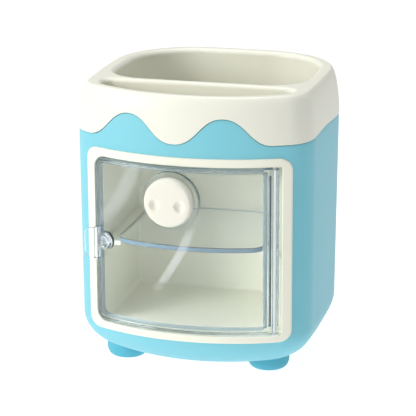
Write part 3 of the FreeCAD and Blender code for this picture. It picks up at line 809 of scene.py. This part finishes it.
def make_cover():
    bm = bmesh.new()
    rows = [("share", step / SKIRT_ROWS) for step in range(SKIRT_ROWS + 1)]
    first_turn = math.degrees(math.asin((CROWN_FROM - STRAIGHT_TOP) / CROWN_UP))
    rows += [("level", STRAIGHT_TOP + CROWN_UP * math.sin(turn))
             for turn in quarter(CROWN_ROWS, first_turn)[1:]]
    outer = pull_rings(bm, len(COLUMNS), rows, cover_spot)[1]
    rear_top, rear_low = hollow(bm, REAR_OUTLINE, HEIGHT, RIM_ROUND, 7, REAR_LEVELS)
    slot_top = hollow(bm, SLOT_OUTLINE, HEIGHT, SLOT_ROUND, 7, SLOT_LEVELS, SLOT_FLOOR)[0]
    well_top = hollow(bm, WELL_OUTLINE, STEP_FLOOR, WELL_RIM_ROUND, 3, WELL_LEVELS, WELL_FLOOR)[0]
    for edges in (outer + rear_top + slot_top, rear_low + well_top):
        bmesh.ops.triangle_fill(bm, use_beauty=True, edges=edges, normal=(0, 0, 1))
    return make_object("top_cover_moulding", bm, skin=((0, 0, 1), True))


top_cover = thicken(make_cover(), COVER_WALL, even=True)
soften = top_cover.modifiers.new("soften", "BEVEL")
soften.width = COVER_EDGE * MM
soften.segments = 2
soften.limit_method = "ANGLE"
soften.angle_limit = COVER_SHARP
soften.use_clamp_overlap = True
settle(top_cover)
finish_piece(top_cover, "body", "cream_plastic", CREAM, "top_cover")

# %% [markdown]
# ## Wrapping pieces onto the curved front
#
# The front is part of an upright cylinder that leans back a little. Frame, door and knob are drawn
# by how far they stand in front of it, and one function turns such a distance into depth.

# %% Curved front
FRONT_CENTRE_Y = FRONT_RADIUS - (HALF_DEPTH - FRONT_LEAN * HEIGHT)


def front_y(x, z, offset):
    """Depth of the front surface moved outwards by offset."""
    return FRONT_CENTRE_Y - FRONT_LEAN * z - math.sqrt((FRONT_RADIUS + offset) ** 2 - x ** 2)


def front_matrix(x, z, offset):
    """Turns a shape drawn towards -Y at the origin square onto the front."""
    turn = Matrix.Rotation(math.asin(x / (FRONT_RADIUS + offset)), 4, "Z")
    lean = Matrix.Rotation(math.atan(FRONT_LEAN), 4, "X")
    return Matrix.Translation((x, front_y(x, z, offset), z)) @ turn @ lean


print("front at the middle", round(front_y(0, 60, 0), 2), "mm")

# %% [markdown]
# ## Cream frame and cabinet
#
# Frame, recess and cabinet are one moulding. Its skin starts under the frame's outer edge, rolls
# over the frame's face, drops into the recess for the door, steps in to the cabinet's mouth and runs
# back to the cabinet's rear wall. Two rails inside carry the shelf.

# %% Frame and cabinet
FRAME_PROUD, FRAME_CORNER, FRAME_EDGE = 0.8, 5.2, 0.55
RECESS_LEFT_CORNER, RECESS_RIGHT_CORNER = 5.0, 0.8
RECESS_MIDDLE, RECESS_FLOOR = -2.5, -5.5
RECESS_ROUND, MOUTH_ROUND, BACK_ROUND = 0.5, 0.4, 1.7
CABINET = (-38.6, 38.6, 23.9, 96.4)
CABINET_DEPTHS, CABINET_BACK = (-30.0, -15.0, 0.0), 12.0
CABINET_CORNER = 1.8
CABINET_WALL = 0.75
SHELF_TOP, SHELF_THICKNESS = 62.0, 2.2
LINE_POINTS, CORNER_POINTS = 40, 10


def panel_samples(bounds, left_corner, right_corner):
    """A rounded panel in XZ, always with the same number of points."""
    samples = []
    for segment in panel_segments(bounds, left_corner, right_corner):
        if segment[0] == "line":
            length = math.hypot(segment[3] - segment[1], segment[4] - segment[2])
            samples += trace([segment], length / LINE_POINTS)[:LINE_POINTS]
        else:
            samples += trace([segment], segment[2] * math.pi / 2 / CORNER_POINTS)[:CORNER_POINTS]
    return samples


FRAME_OUTLINE = panel_samples(FRAME, FRAME_CORNER, FRAME_CORNER)
RECESS_OUTLINE = panel_samples(RECESS, RECESS_LEFT_CORNER, RECESS_RIGHT_CORNER)
CABINET_OUTLINE = panel_samples(CABINET, CABINET_CORNER, CABINET_CORNER)


def liner_spot(row, index):
    """A vertex of the moulding: how far inside an outline, and its offset or its depth."""
    outline, inwards, kind, value = row
    x, z, out_x, out_z = outline[index]
    x, z = x - out_x * inwards, z - out_z * inwards
    return Vector((x, front_y(x, z, value) if kind == "offset" else value, z))


def turn_rows(outline, radius, steps, kind, value, to_side, onwards, back=False):
    """Rows round an edge of the moulding, with the signs of its way sideways and its way onwards."""
    return [(outline, to_side * side, kind, value + onwards * away)
            for away, side in round_over(radius, steps, back)]


def make_liner():
    rows = [(FRAME_OUTLINE, 0.0, "offset", 0.0)]
    rows += turn_rows(FRAME_OUTLINE, FRAME_EDGE, 4, "offset", FRAME_PROUD, 1, -1)
    rows += turn_rows(RECESS_OUTLINE, FRAME_EDGE, 4, "offset", FRAME_PROUD, -1, -1, back=True)
    rows.append((RECESS_OUTLINE, 0.0, "offset", RECESS_MIDDLE))
    rows += turn_rows(RECESS_OUTLINE, RECESS_ROUND, 3, "offset", RECESS_FLOOR, 1, 1)
    rows += turn_rows(CABINET_OUTLINE, MOUTH_ROUND, 3, "offset", RECESS_FLOOR, -1, -1, back=True)
    rows += [(CABINET_OUTLINE, 0.0, "plane", depth) for depth in CABINET_DEPTHS]
    rows += turn_rows(CABINET_OUTLINE, BACK_ROUND, 4, "plane", CABINET_BACK, 1, -1)
    shape = pulled(len(FRAME_OUTLINE), rows, liner_spot, last_cap=True)
    return make_object("frame_and_cabinet", shape, skin=((0, 1, 0), False))


def round_edges(bm, edges, radius):
    bmesh.ops.bevel(bm, geom=edges, offset=radius, offset_type="OFFSET", segments=2, profile=0.5,
                    affect="EDGES", material=-1)


def block(left, right, front, back, low, high):
    """A box, as a shape in millimetres."""
    bm = bmesh.new()
    bmesh.ops.create_cube(bm, size=1.0)
    bmesh.ops.scale(bm, vec=(right - left, back - front, high - low), verts=bm.verts)
    bmesh.ops.translate(bm, vec=((left + right) / 2, (front + back) / 2, (low + high) / 2), verts=bm.verts)
    return bm


RAIL_INNER, RAIL_OUTER = 30.8, 39.0
RAIL_OFFSET, RAIL_BACK = -7.0, CABINET_BACK + 0.3
RAIL_HEIGHT, RAIL_EDGE = 2.0, 0.35

cabinet = thicken(make_liner(), CABINET_WALL, even=False)
rail_front, rail_top = front_y(RAIL_INNER, SHELF_TOP, RAIL_OFFSET), SHELF_TOP - SHELF_THICKNESS
for side in (-1, 1):
    rail_left, rail_right = sorted((side * RAIL_INNER, side * RAIL_OUTER))
    rail = block(rail_left, rail_right, rail_front, RAIL_BACK, rail_top - RAIL_HEIGHT, rail_top)
    round_edges(rail, rail.edges[:], RAIL_EDGE)
    join(cabinet, rail)
finish_piece(cabinet, "body", "cream_plastic", CABINET_CREAM_PAINTED_LIGHT, "cabinet_liner")

# %% [markdown]
# ## Clear shelf
#
# A flat plate with a bowed front edge and rounded corners. Its section is pulled round its outline,
# with a small round on every edge, because those rounds catch the light and draw the shelf.

# %% Shelf
SHELF_HALF_WIDTH = 32.0
SHELF_INSET = 5.0
SHELF_FRONT_CORNER, SHELF_BACK_CORNER = 7.0, 2.0
SHELF_BACK = 11.7
SHELF_STEP = 1.2
RESTING_GAP = 0.03
CLEAR_EDGE = 0.35


def shelf_outline():
    reach = FRONT_RADIUS - SHELF_INSET
    centre_y = FRONT_CENTRE_Y - FRONT_LEAN * SHELF_TOP
    x = SHELF_HALF_WIDTH - SHELF_FRONT_CORNER
    y = centre_y - math.sqrt((reach - SHELF_FRONT_CORNER) ** 2 - x ** 2)
    touch = math.atan2(y - centre_y, x)
    back = SHELF_BACK - SHELF_BACK_CORNER
    rear_x = SHELF_HALF_WIDTH - SHELF_BACK_CORNER
    return trace([(0.0, centre_y, reach, -math.pi - touch, touch), (x, y, SHELF_FRONT_CORNER, touch, 0.0),
                  ("line", SHELF_HALF_WIDTH, y, SHELF_HALF_WIDTH, back),
                  (rear_x, back, SHELF_BACK_CORNER, 0.0, math.pi / 2),
                  ("line", rear_x, SHELF_BACK, -rear_x, SHELF_BACK),
                  (-rear_x, back, SHELF_BACK_CORNER, math.pi / 2, math.pi),
                  ("line", -SHELF_HALF_WIDTH, back, -SHELF_HALF_WIDTH, y),
                  (-x, y, SHELF_FRONT_CORNER, math.pi, math.pi - touch)], SHELF_STEP)


def plate(outline, low, high, edge, upright=False):
    """A flat plate with rounded edges, between two heights or two depths."""
    rows = [(-inwards, low + up) for inwards, up in round_over(edge, 3)]
    rows += [(-inwards, high - down) for inwards, down in round_over(edge, 3, back=True)]
    return pulled(len(outline), rows, outline_spot(outline, upright), first_cap=True, last_cap=True)


shelf = plate(shelf_outline(), SHELF_TOP - SHELF_THICKNESS + RESTING_GAP, SHELF_TOP, CLEAR_EDGE)
finish_piece(make_object("clear_shelf", shelf), "body", "clear_plastic", CLEAR_FLAT, "shelf")

# %% [markdown]
# ## Clear door
#
# The door is a shallow tray: a curved plate with a flange all round its back, and at the right a
# barrel that turns on the steel rod, tied in by two blocks. The tray is drawn flat, sliced into
# narrow upright strips, and then wrapped onto the curved front, so its curve has no creases. The
# barrel is added afterwards, because it has to stay round.

# %% Door
DOOR = (-40.3, 35.4, 24.5, 97.9)
DOOR_FACE, DOOR_BACK = 1.6, -0.4
DOOR_LEFT_CORNER, DOOR_RIGHT_CORNER = 4.3, 1.0
PLATE_EDGE, FLANGE_EDGE = 0.5, 0.3
FLANGE_BACK, FLANGE_WALL = -5.2, 1.8
HINGE_X, HINGE_OFFSET = 37.8, -0.35
BARREL_RADIUS, BORE_RADIUS, ROD_RADIUS = 2.1, 0.85, 0.8
BARREL_EDGE, ROD_EDGE = 0.25, 0.2
ROD_LOW, ROD_HIGH = 22.2, 100.2
BORE_BEYOND = 3.0
KNUCKLE_HEIGHT, KNUCKLE_FRONT, KNUCKLE_BACK = 3.2, -0.6, 2.6
STRIP_INTO, KNUCKLE_INTO = 1.2, 0.9
SLICE = 1.6
HAIR, ON_THE_CUT = 0.002, 0.00001


def wrap(bm):
    """Moves a shape drawn flat, with -Y as the distance in front, onto the curved front."""
    left = min(vert.co.x for vert in bm.verts)
    right = max(vert.co.x for vert in bm.verts)
    for index in range(1, int((right - left) / SLICE)):
        bmesh.ops.bisect_plane(bm, geom=bm.verts[:] + bm.edges[:] + bm.faces[:], dist=ON_THE_CUT,
                               plane_co=(left + SLICE * index, 0, 0), plane_no=(1, 0, 0))
    for vert in bm.verts:
        vert.co.y = front_y(vert.co.x, vert.co.z, -vert.co.y)
    return bm


def flat_spot(row, index):
    """A vertex of a moulding drawn flat: an outline, how far inwards, and how far in front."""
    outline, inwards, offset = row
    x, z, out_x, out_z = outline[index]
    return Vector((x - out_x * inwards, -offset, z - out_z * inwards))


def door_tray():
    outer = panel_samples(DOOR, DOOR_LEFT_CORNER, DOOR_RIGHT_CORNER)
    inner = panel_samples(grown(DOOR, -FLANGE_WALL), DOOR_LEFT_CORNER - FLANGE_WALL, DOOR_RIGHT_CORNER)
    rows = [(outer, side, DOOR_FACE - down) for side, down in round_over(PLATE_EDGE, 4)]
    rows += [(outer, side, FLANGE_BACK + up) for up, side in round_over(FLANGE_EDGE, 3)]
    rows += [(inner, -side, FLANGE_BACK + up) for up, side in round_over(FLANGE_EDGE, 3, back=True)]
    rows += [(inner, side, DOOR_BACK - down) for down, side in round_over(PLATE_EDGE, 3)]
    shape = pulled(len(outer), rows, flat_spot, first_cap=True, last_cap=True)
    return make_object("clear_door", wrap(shape))


def hinge_bar(radius, low, high, segments, edge=0.0):
    """A round bar on the hinge line, with softened ends if it has an edge radius."""
    bm = bmesh.new()
    bmesh.ops.create_cone(bm, cap_ends=True, segments=segments, radius1=radius, radius2=radius,
                          depth=high - low)
    if edge:
        ends = [item for item in bm.edges if abs(item.verts[0].co.z - item.verts[1].co.z) < HAIR]
        round_edges(bm, ends, edge)
    foot_y = front_y(HINGE_X, 0, HINGE_OFFSET)
    for vert in bm.verts:
        vert.co.z += (low + high) / 2
        vert.co.x += HINGE_X
        vert.co.y += foot_y - FRONT_LEAN * vert.co.z
    return bm


_, door_right, door_low, door_high = DOOR
door = door_tray()
strip = block(door_right - STRIP_INTO, HINGE_X, -DOOR_FACE + HAIR / 2, -DOOR_BACK,
              door_low + HAIR, door_high - HAIR)
combine(door, wrap(strip), "UNION")
for low in (door_low, door_high - KNUCKLE_HEIGHT):
    knuckle = block(door_right - KNUCKLE_INTO, HINGE_X, KNUCKLE_FRONT, KNUCKLE_BACK,
                    low + 2 * HAIR, low + KNUCKLE_HEIGHT - 2 * HAIR)
    combine(door, wrap(knuckle), "UNION")
barrel = hinge_bar(BARREL_RADIUS, door_low + 3 * HAIR, door_high - 3 * HAIR, 48, BARREL_EDGE)
combine(door, barrel, "UNION")
combine(door, hinge_bar(BORE_RADIUS, door_low - BORE_BEYOND, door_high + BORE_BEYOND, 32), "DIFFERENCE")
finish_piece(door, "door", "clear_plastic", CLEAR_DOOR, "door_panel")

rod = make_object("hinge_rod_steel", hinge_bar(ROD_RADIUS, ROD_LOW, ROD_HIGH, 40, ROD_EDGE))
finish_piece(rod, "body", "rod_steel", ROD_STEEL, "hinge_rod")

# %% [markdown]
# ## Turned pieces
#
# Knob, collar, stud, feet and screws are round. For each, half a section is drawn as a chain of
# vertices and spun once round its axis.

# %% Spin
CLOSED_SEAM = 0.0005


def turned(profile, steps, place=None):
    """Spins a section (radius, height) round Z, into a closed shape, and puts it in its place."""
    bm = bmesh.new()
    verts = [bm.verts.new((radius, 0.0, height)) for radius, height in profile]
    for first, second in zip(verts, verts[1:]):
        bm.edges.new((first, second))
    bmesh.ops.spin(bm, geom=bm.verts[:] + bm.edges[:], cent=(0, 0, 0), axis=(0, 0, 1),
                   angle=2 * math.pi, steps=steps, use_merge=True)
    bmesh.ops.remove_doubles(bm, verts=bm.verts, dist=CLOSED_SEAM)
    bmesh.ops.transform(bm, matrix=place or Matrix(), verts=bm.verts)
    return bm


def rounded(edge_x, edge_z, radius, steps, start=0):
    """A quarter round that ends a section at a radius and a height, from a start angle in degrees."""
    x = edge_x - radius
    z = edge_z - radius if start == 0 else edge_z + radius
    return [(x + radius * math.cos(turn), z + radius * math.sin(turn))
            for turn in quarter(steps, start, start + 90)]


def along(first, last, count):
    """Points from first to last, the first left out."""
    return [(first[0] + (last[0] - first[0]) * k / count, first[1] + (last[1] - first[1]) * k / count)
            for k in range(1, count + 1)]


FACE_FORWARD = Matrix.Rotation(math.radians(90), 4, "X")

# %% [markdown]
# ### Knob and collar
#
# The knob is a thick cream disc with a rolled edge and two shallow thumb dimples, on a clear collar
# whose back follows the door's curve.

# %% Knob
NOSE_X, NOSE_Z = -4.3, 83.9
NOSE_RADIUS, NOSE_THICKNESS, NOSE_ROUND = 10.5, 4.4, 1.9
NOSE_FOOT, NOSE_FOOT_ROUND = 0.05, 0.3
NOSE_HOLLOW, NOSE_FACE_DEPTH = 0.25, 0.3
COLLAR_RADIUS, COLLAR_THICKNESS, COLLAR_ROUND = 12.7, 1.6, 0.6
COLLAR_BACK, COLLAR_BACK_FROM = -0.5, 0.4
DIMPLE_RADIUS, DIMPLE_DEPTH = 2.5, 1.45
DIMPLE_SPACING, DIMPLE_DROP = 10.7, 0.8
DIMPLE_HEIGHTEN, DIMPLE_POWER = 0.92, 1.15
NOSE_PLACE = front_matrix(NOSE_X, NOSE_Z, DOOR_FACE)


def dimple(x, z):
    """Depth of the two dimples at a place on the knob's face."""
    depth = 0.0
    for side in (-1, 1):
        away = math.hypot(x - side * DIMPLE_SPACING / 2, (z + DIMPLE_DROP) * DIMPLE_HEIGHTEN) / DIMPLE_RADIUS
        if away < 1:
            depth += DIMPLE_DEPTH * (1 - away ** 2) ** DIMPLE_POWER
    return depth


def make_knob():
    foot = (0.0, NOSE_FOOT)
    profile = [foot] + along(foot, (NOSE_RADIUS - NOSE_FOOT_ROUND, NOSE_FOOT), 4)
    profile += rounded(NOSE_RADIUS, NOSE_FOOT, NOSE_FOOT_ROUND, 3, -90)[1:]
    profile += rounded(NOSE_RADIUS, NOSE_THICKNESS, NOSE_ROUND, 8)
    profile += along((NOSE_RADIUS - NOSE_ROUND, NOSE_THICKNESS), (0.0, NOSE_THICKNESS), 30)
    bm = turned(profile, 144, FACE_FORWARD)
    for vert in bm.verts:
        if vert.co.y < -NOSE_THICKNESS + NOSE_FACE_DEPTH:
            vert.co.y += dimple(vert.co.x, vert.co.z)
            vert.co.y += NOSE_HOLLOW * (math.hypot(vert.co.x, vert.co.z) / NOSE_RADIUS) ** 2
    place = NOSE_PLACE @ Matrix.Translation((0, -COLLAR_THICKNESS, 0))
    bmesh.ops.transform(bm, matrix=place, verts=bm.verts)
    return make_object("round_knob", bm)


def make_collar():
    middle = (0.0, COLLAR_BACK)
    profile = [middle] + along(middle, (COLLAR_RADIUS, COLLAR_BACK), 12)
    profile += rounded(COLLAR_RADIUS, COLLAR_THICKNESS, COLLAR_ROUND, 5)
    profile += along((COLLAR_RADIUS - COLLAR_ROUND, COLLAR_THICKNESS), (0.0, COLLAR_THICKNESS), 8)
    bm = turned(profile, 128, FACE_FORWARD)
    back = [vert for vert in bm.verts if vert.co.y > COLLAR_BACK_FROM]
    bmesh.ops.transform(bm, matrix=NOSE_PLACE, verts=bm.verts)
    for vert in back:
        vert.co.y = front_y(vert.co.x, vert.co.z, DOOR_FACE + RESTING_GAP)
    return make_object("clear_collar", bm)


finish_piece(make_knob(), "door", "knob_plastic", KNOB_CREAM, "nose_knob")
finish_piece(make_collar(), "door", "clear_plastic", CLEAR, "nose_collar")

# %% [markdown]
# ### Finger tab and stud
#
# The tab is a small clear plate beyond the door's left edge, with a thick rib to push against and an
# ear that lies on the door. A stepped stud rivets the ear to the door.

# %% Tab and stud
STUD_X, STUD_Z = -35.0, 62.0
STUD_BASE, STUD_BASE_ROUND = (3.6, 1.5), 0.4
STUD_TIP, STUD_TIP_ROUND = (2.5, 1.8), 1.0
STUD_FILLET = 0.2
EAR_RADIUS, EAR_THICKNESS, EAR_EDGE = 4.1, 1.2, 0.35
EAR_INTO = -2.0
TAB = (-45.2, -38.3, 53.9, 66.9)
TAB_THICKNESS, TAB_EDGE = 1.2, 0.3
TAB_LEFT_CORNER, TAB_RIGHT_CORNER = 2.2, 0.3
TAB_INTO_RIB = 0.01
RIB_LEFT, RIB_LOW, RIB_HIGH = -40.9, 53.2, 67.6
RIB_PROUD, RIB_INTO, RIB_CORNER, RIB_EDGE = 0.9, 3.0, 0.6, 0.35
NEAR_DOOR, NEAR_DOOR_BACK = (-60.0, -25.0, 48.0, 74.0), 12.0
NOTCH_GAP, NOTCH_TOP = 0.15, 8.0
OUTLINE_FINE = 0.5
STUD_PLACE = front_matrix(STUD_X, STUD_Z, DOOR_FACE) @ FACE_FORWARD


def panel_plate(bounds, left_corner, right_corner, front, back, edge):
    """A rounded panel in XZ with rounded edges, between two depths."""
    outline = trace(panel_segments(bounds, left_corner, right_corner), OUTLINE_FINE)
    return plate(outline, front, back, edge, upright=True)


def make_tab():
    left, right, low, high = TAB
    seat = front_y(right, (low + high) / 2, DOOR_FACE)
    front = seat - TAB_THICKNESS
    tab = make_object("finger_tab", panel_plate((left, right + TAB_INTO_RIB, low, high), TAB_LEFT_CORNER,
                                                TAB_RIGHT_CORNER, front, seat, TAB_EDGE))
    combine(tab, panel_plate((RIB_LEFT, right, RIB_LOW, RIB_HIGH), RIB_CORNER, RIB_CORNER,
                             front - RIB_PROUD, seat + RIB_INTO, RIB_EDGE), "UNION")
    ear = [(0.0, EAR_INTO), (EAR_RADIUS, EAR_INTO)] + rounded(EAR_RADIUS, EAR_THICKNESS, EAR_EDGE, 3)
    combine(tab, turned(ear + [(0.0, EAR_THICKNESS)], 64, STUD_PLACE), "UNION")
    door_solid = block(*NEAR_DOOR[:2], -DOOR_FACE - RESTING_GAP, NEAR_DOOR_BACK, *NEAR_DOOR[2:])
    combine(tab, wrap(door_solid), "DIFFERENCE")
    notch = STUD_BASE[0] + NOTCH_GAP
    return combine(tab, turned([(0.0, EAR_THICKNESS), (notch, EAR_THICKNESS), (notch, NOTCH_TOP),
                                (0.0, NOTCH_TOP)], 64, STUD_PLACE), "DIFFERENCE")


def make_stud():
    base_radius, base_height = STUD_BASE
    tip_radius, tip_height = STUD_TIP
    low = EAR_THICKNESS + RESTING_GAP
    step = low + base_height
    top = step + tip_height
    profile = [(0.0, low), (base_radius, low)] + rounded(base_radius, step, STUD_BASE_ROUND, 4)
    profile += [(tip_radius + STUD_FILLET, step), (tip_radius, step + STUD_FILLET)]
    profile += rounded(tip_radius, top, STUD_TIP_ROUND, 8) + [(0.0, top)]
    return make_object("clear_stud", turned(profile, 64, STUD_PLACE))


finish_piece(make_tab(), "door", "clear_plastic", CLEAR, "pull_tab")
finish_piece(make_stud(), "door", "clear_plastic", CLEAR, "tab_stud")

# %% [markdown]
# ### Feet
#
# Four soft domes, drawn in under the base. Each has a flat sole and a round belly, and goes straight
# up into the body's curl.

# %% Feet
FOOT_PLACES = {"foot_front_left": (-35.0, -18.5), "foot_front_right": (30.0, -18.5),
               "foot_rear_left": (-35.0, 18.5), "foot_rear_right": (30.0, 18.5)}
SOLE_RADIUS, FLAT_SOLE_RADIUS = 6.4, 5.6
FOOT_RADIUS = 9.3
BELLY_HEIGHT = 4.4
FOOT_LEVELS = (6.0, 8.0, 11.0)


def make_foot(name, x, y):
    profile = [(0.0, 0.0), (FLAT_SOLE_RADIUS, 0.0)]
    profile += [(SOLE_RADIUS + (FOOT_RADIUS - SOLE_RADIUS) * math.cos(turn),
                 BELLY_HEIGHT * (1 + math.sin(turn))) for turn in quarter(10, -90, 0)]
    profile += [(FOOT_RADIUS, level) for level in FOOT_LEVELS] + [(0.0, FOOT_LEVELS[-1])]
    return make_object(name + "_dome", turned(profile, 80, Matrix.Translation((x, y, 0))))


for node, (x, y) in FOOT_PLACES.items():
    finish_piece(make_foot(node, x, y), "body", "foot_plastic", FOOT_BLUE_PAINTED_SHADE, node)

# %% [markdown]
# ### Screws
#
# Six pan-head screws hold the mouldings together from below, and one holds the knob from inside the
# door. Each head has a crossed recess.

# %% Screws
CROWN_REACH, CROWN_ROUND = 0.72, 0.10
HEAD_SIDE = [(0.95, 0.55), (1.0, 0.25), (1.0, 0.0)]
POINT_LENGTH, POINT_IN = 0.5, 0.4
RECESS_REACH, RECESS_HALF_WIDTH, RECESS_FLOOR_SHARE = 0.55, 0.3, 0.45


def screw(head_radius, head_height, shank_radius, length):
    """A screw with its head's bearing face at zero, the head downwards and the shank upwards."""
    profile = [(0.0, -head_height)]
    profile += [(head_radius * math.sin(turn) * CROWN_REACH,
                 -head_height + CROWN_ROUND * (1 - math.cos(turn))) for turn in quarter(3)[1:]]
    profile += [(head_radius * reach, -head_height * down) for reach, down in HEAD_SIDE]
    profile += [(shank_radius, 0.0), (shank_radius, length - POINT_LENGTH),
                (shank_radius - POINT_IN, length), (0.0, length)]
    obj = make_object("screw_blank", turned(profile, 40))
    reach = head_radius * RECESS_REACH
    for turn in (0, 90):
        slot = block(-reach, reach, -RECESS_HALF_WIDTH, RECESS_HALF_WIDTH,
                     -head_height - 1, -head_height * RECESS_FLOOR_SHARE)
        bmesh.ops.rotate(slot, cent=(0, 0, 0), matrix=Matrix.Rotation(math.radians(turn), 3, "Z"),
                         verts=slot.verts)
        combine(obj, slot, "DIFFERENCE")
    bm = bmesh.new()
    bm.from_mesh(obj.data)
    bpy.data.objects.remove(obj)
    back = Matrix.Translation((0, -SHIFT_Y, 0)) @ Matrix.Scale(1 / MM, 4)
    bmesh.ops.transform(bm, matrix=back, verts=bm.verts)
    return bm


SCREW_PLACES = [(17.0, -17.0), (-17.0, -17.0), (17.0, 6.0), (-17.0, 6.0), (14.0, 24.0), (-14.0, 24.0)]
NOSE_SCREW_DEPTH = 2.1

bm = screw(head_radius=2.8, head_height=1.9, shank_radius=1.4, length=9.0)
blank = bm.verts[:] + bm.edges[:] + bm.faces[:]
first_x, first_y = SCREW_PLACES[0]
bmesh.ops.translate(bm, vec=(first_x, first_y, FOOT_HEIGHT), verts=bm.verts)
for x, y in SCREW_PLACES[1:]:
    copied = bmesh.ops.duplicate(bm, geom=blank)["geom"]
    bmesh.ops.translate(bm, vec=(x - first_x, y - first_y, 0),
                        verts=[item for item in copied if isinstance(item, bmesh.types.BMVert)])
finish_piece(make_object("base_screw_set", bm), "body", "screw_steel", SCREW_STEEL, "base_screws")

bm = screw(head_radius=2.6, head_height=1.5, shank_radius=1.3, length=6.8)
turn_in = NOSE_PLACE @ Matrix.Translation((0, NOSE_SCREW_DEPTH, 0)) @ FACE_FORWARD
bmesh.ops.transform(bm, matrix=turn_in, verts=bm.verts)
finish_piece(make_object("knob_screw", bm), "door", "screw_steel", SCREW_STEEL, "nose_screw")

# %% [markdown]
# ## Floor and light
#
# The photograph is a product shot on pure white. The floor is a white light table, which glows a
# little, so shadows stay faint. One soft light stands at the upper left and front, one hangs above,
# and the room adds a weak even light. A narrow soft spot from the front fills the cabinet, which the
# others hardly reach. The right side stays the darkest, as in the photograph.

# %% Floor and light
FLOOR_SIZE = 4000.0
FLOOR_GREY_LOW, FLOOR_GREY_HIGH = (0.24, 0.24, 0.24), (0.26, 0.26, 0.26)
FLOOR_GLOW = 0.93
WHITE = (1.0, 1.0, 1.0, 1.0)
BODY_MIDDLE, CABINET_MOUTH = (0, 0, 0.06), (0, -0.04, 0.06)
KEY_POWER, OVERHEAD_POWER, FILL_POWER, ROOM_LIGHT = 7.2, 11.2, 5.5, 0.15
KEY_WARMTH = (1.0, 0.985, 0.955)


def pale_floor():
    finish = Finish("pale_floor")
    cloud = finish.noise(1.5)
    return finish.close(finish.principled(
        Base_Color=finish.blend(cloud, FLOOR_GREY_LOW, FLOOR_GREY_HIGH), Roughness=0.75 + cloud * 0.1,
        Emission_Color=WHITE, Emission_Strength=FLOOR_GLOW))


bm = bmesh.new()
bmesh.ops.create_grid(bm, x_segments=1, y_segments=1, size=FLOOR_SIZE)
floor = make_object("floor", bm, skin=((0, 0, 1), True))
floor.data.materials.append(pale_floor())


def soft_light(kind, name, place, aim, power, **settings):
    """A lamp of a kind, which shines from its place at its aim."""
    data = bpy.data.lights.new(name, kind)
    data.energy = power
    for key, value in settings.items():
        setattr(data, key, value)
    light = bpy.data.objects.new(name, data)
    light.location = place
    light.rotation_euler = (Vector(place) - Vector(aim)).to_track_quat("Z", "Y").to_euler()
    bpy.context.scene.collection.objects.link(light)


soft_light("AREA", "key", (-0.76, -0.71, 0.45), BODY_MIDDLE, KEY_POWER,
           shape="RECTANGLE", size=0.5, size_y=0.5, color=KEY_WARMTH)
soft_light("AREA", "overhead", (0.0, 0.05, 1.25), BODY_MIDDLE, OVERHEAD_POWER,
           shape="RECTANGLE", size=0.9, size_y=0.9)
soft_light("SPOT", "front_fill", (0.15, -1.0, 0.25), CABINET_MOUTH, FILL_POWER,
           spot_size=math.radians(9.0), spot_blend=1.0, shadow_soft_size=0.12)

world = bpy.data.worlds.new("white_room")
world.use_nodes = True
background = world.node_tree.nodes["Background"]
background.inputs["Color"].default_value = WHITE
background.inputs["Strength"].default_value = ROOM_LIGHT
bpy.context.scene.world = world
bpy.context.scene.view_settings.view_transform = "Standard"
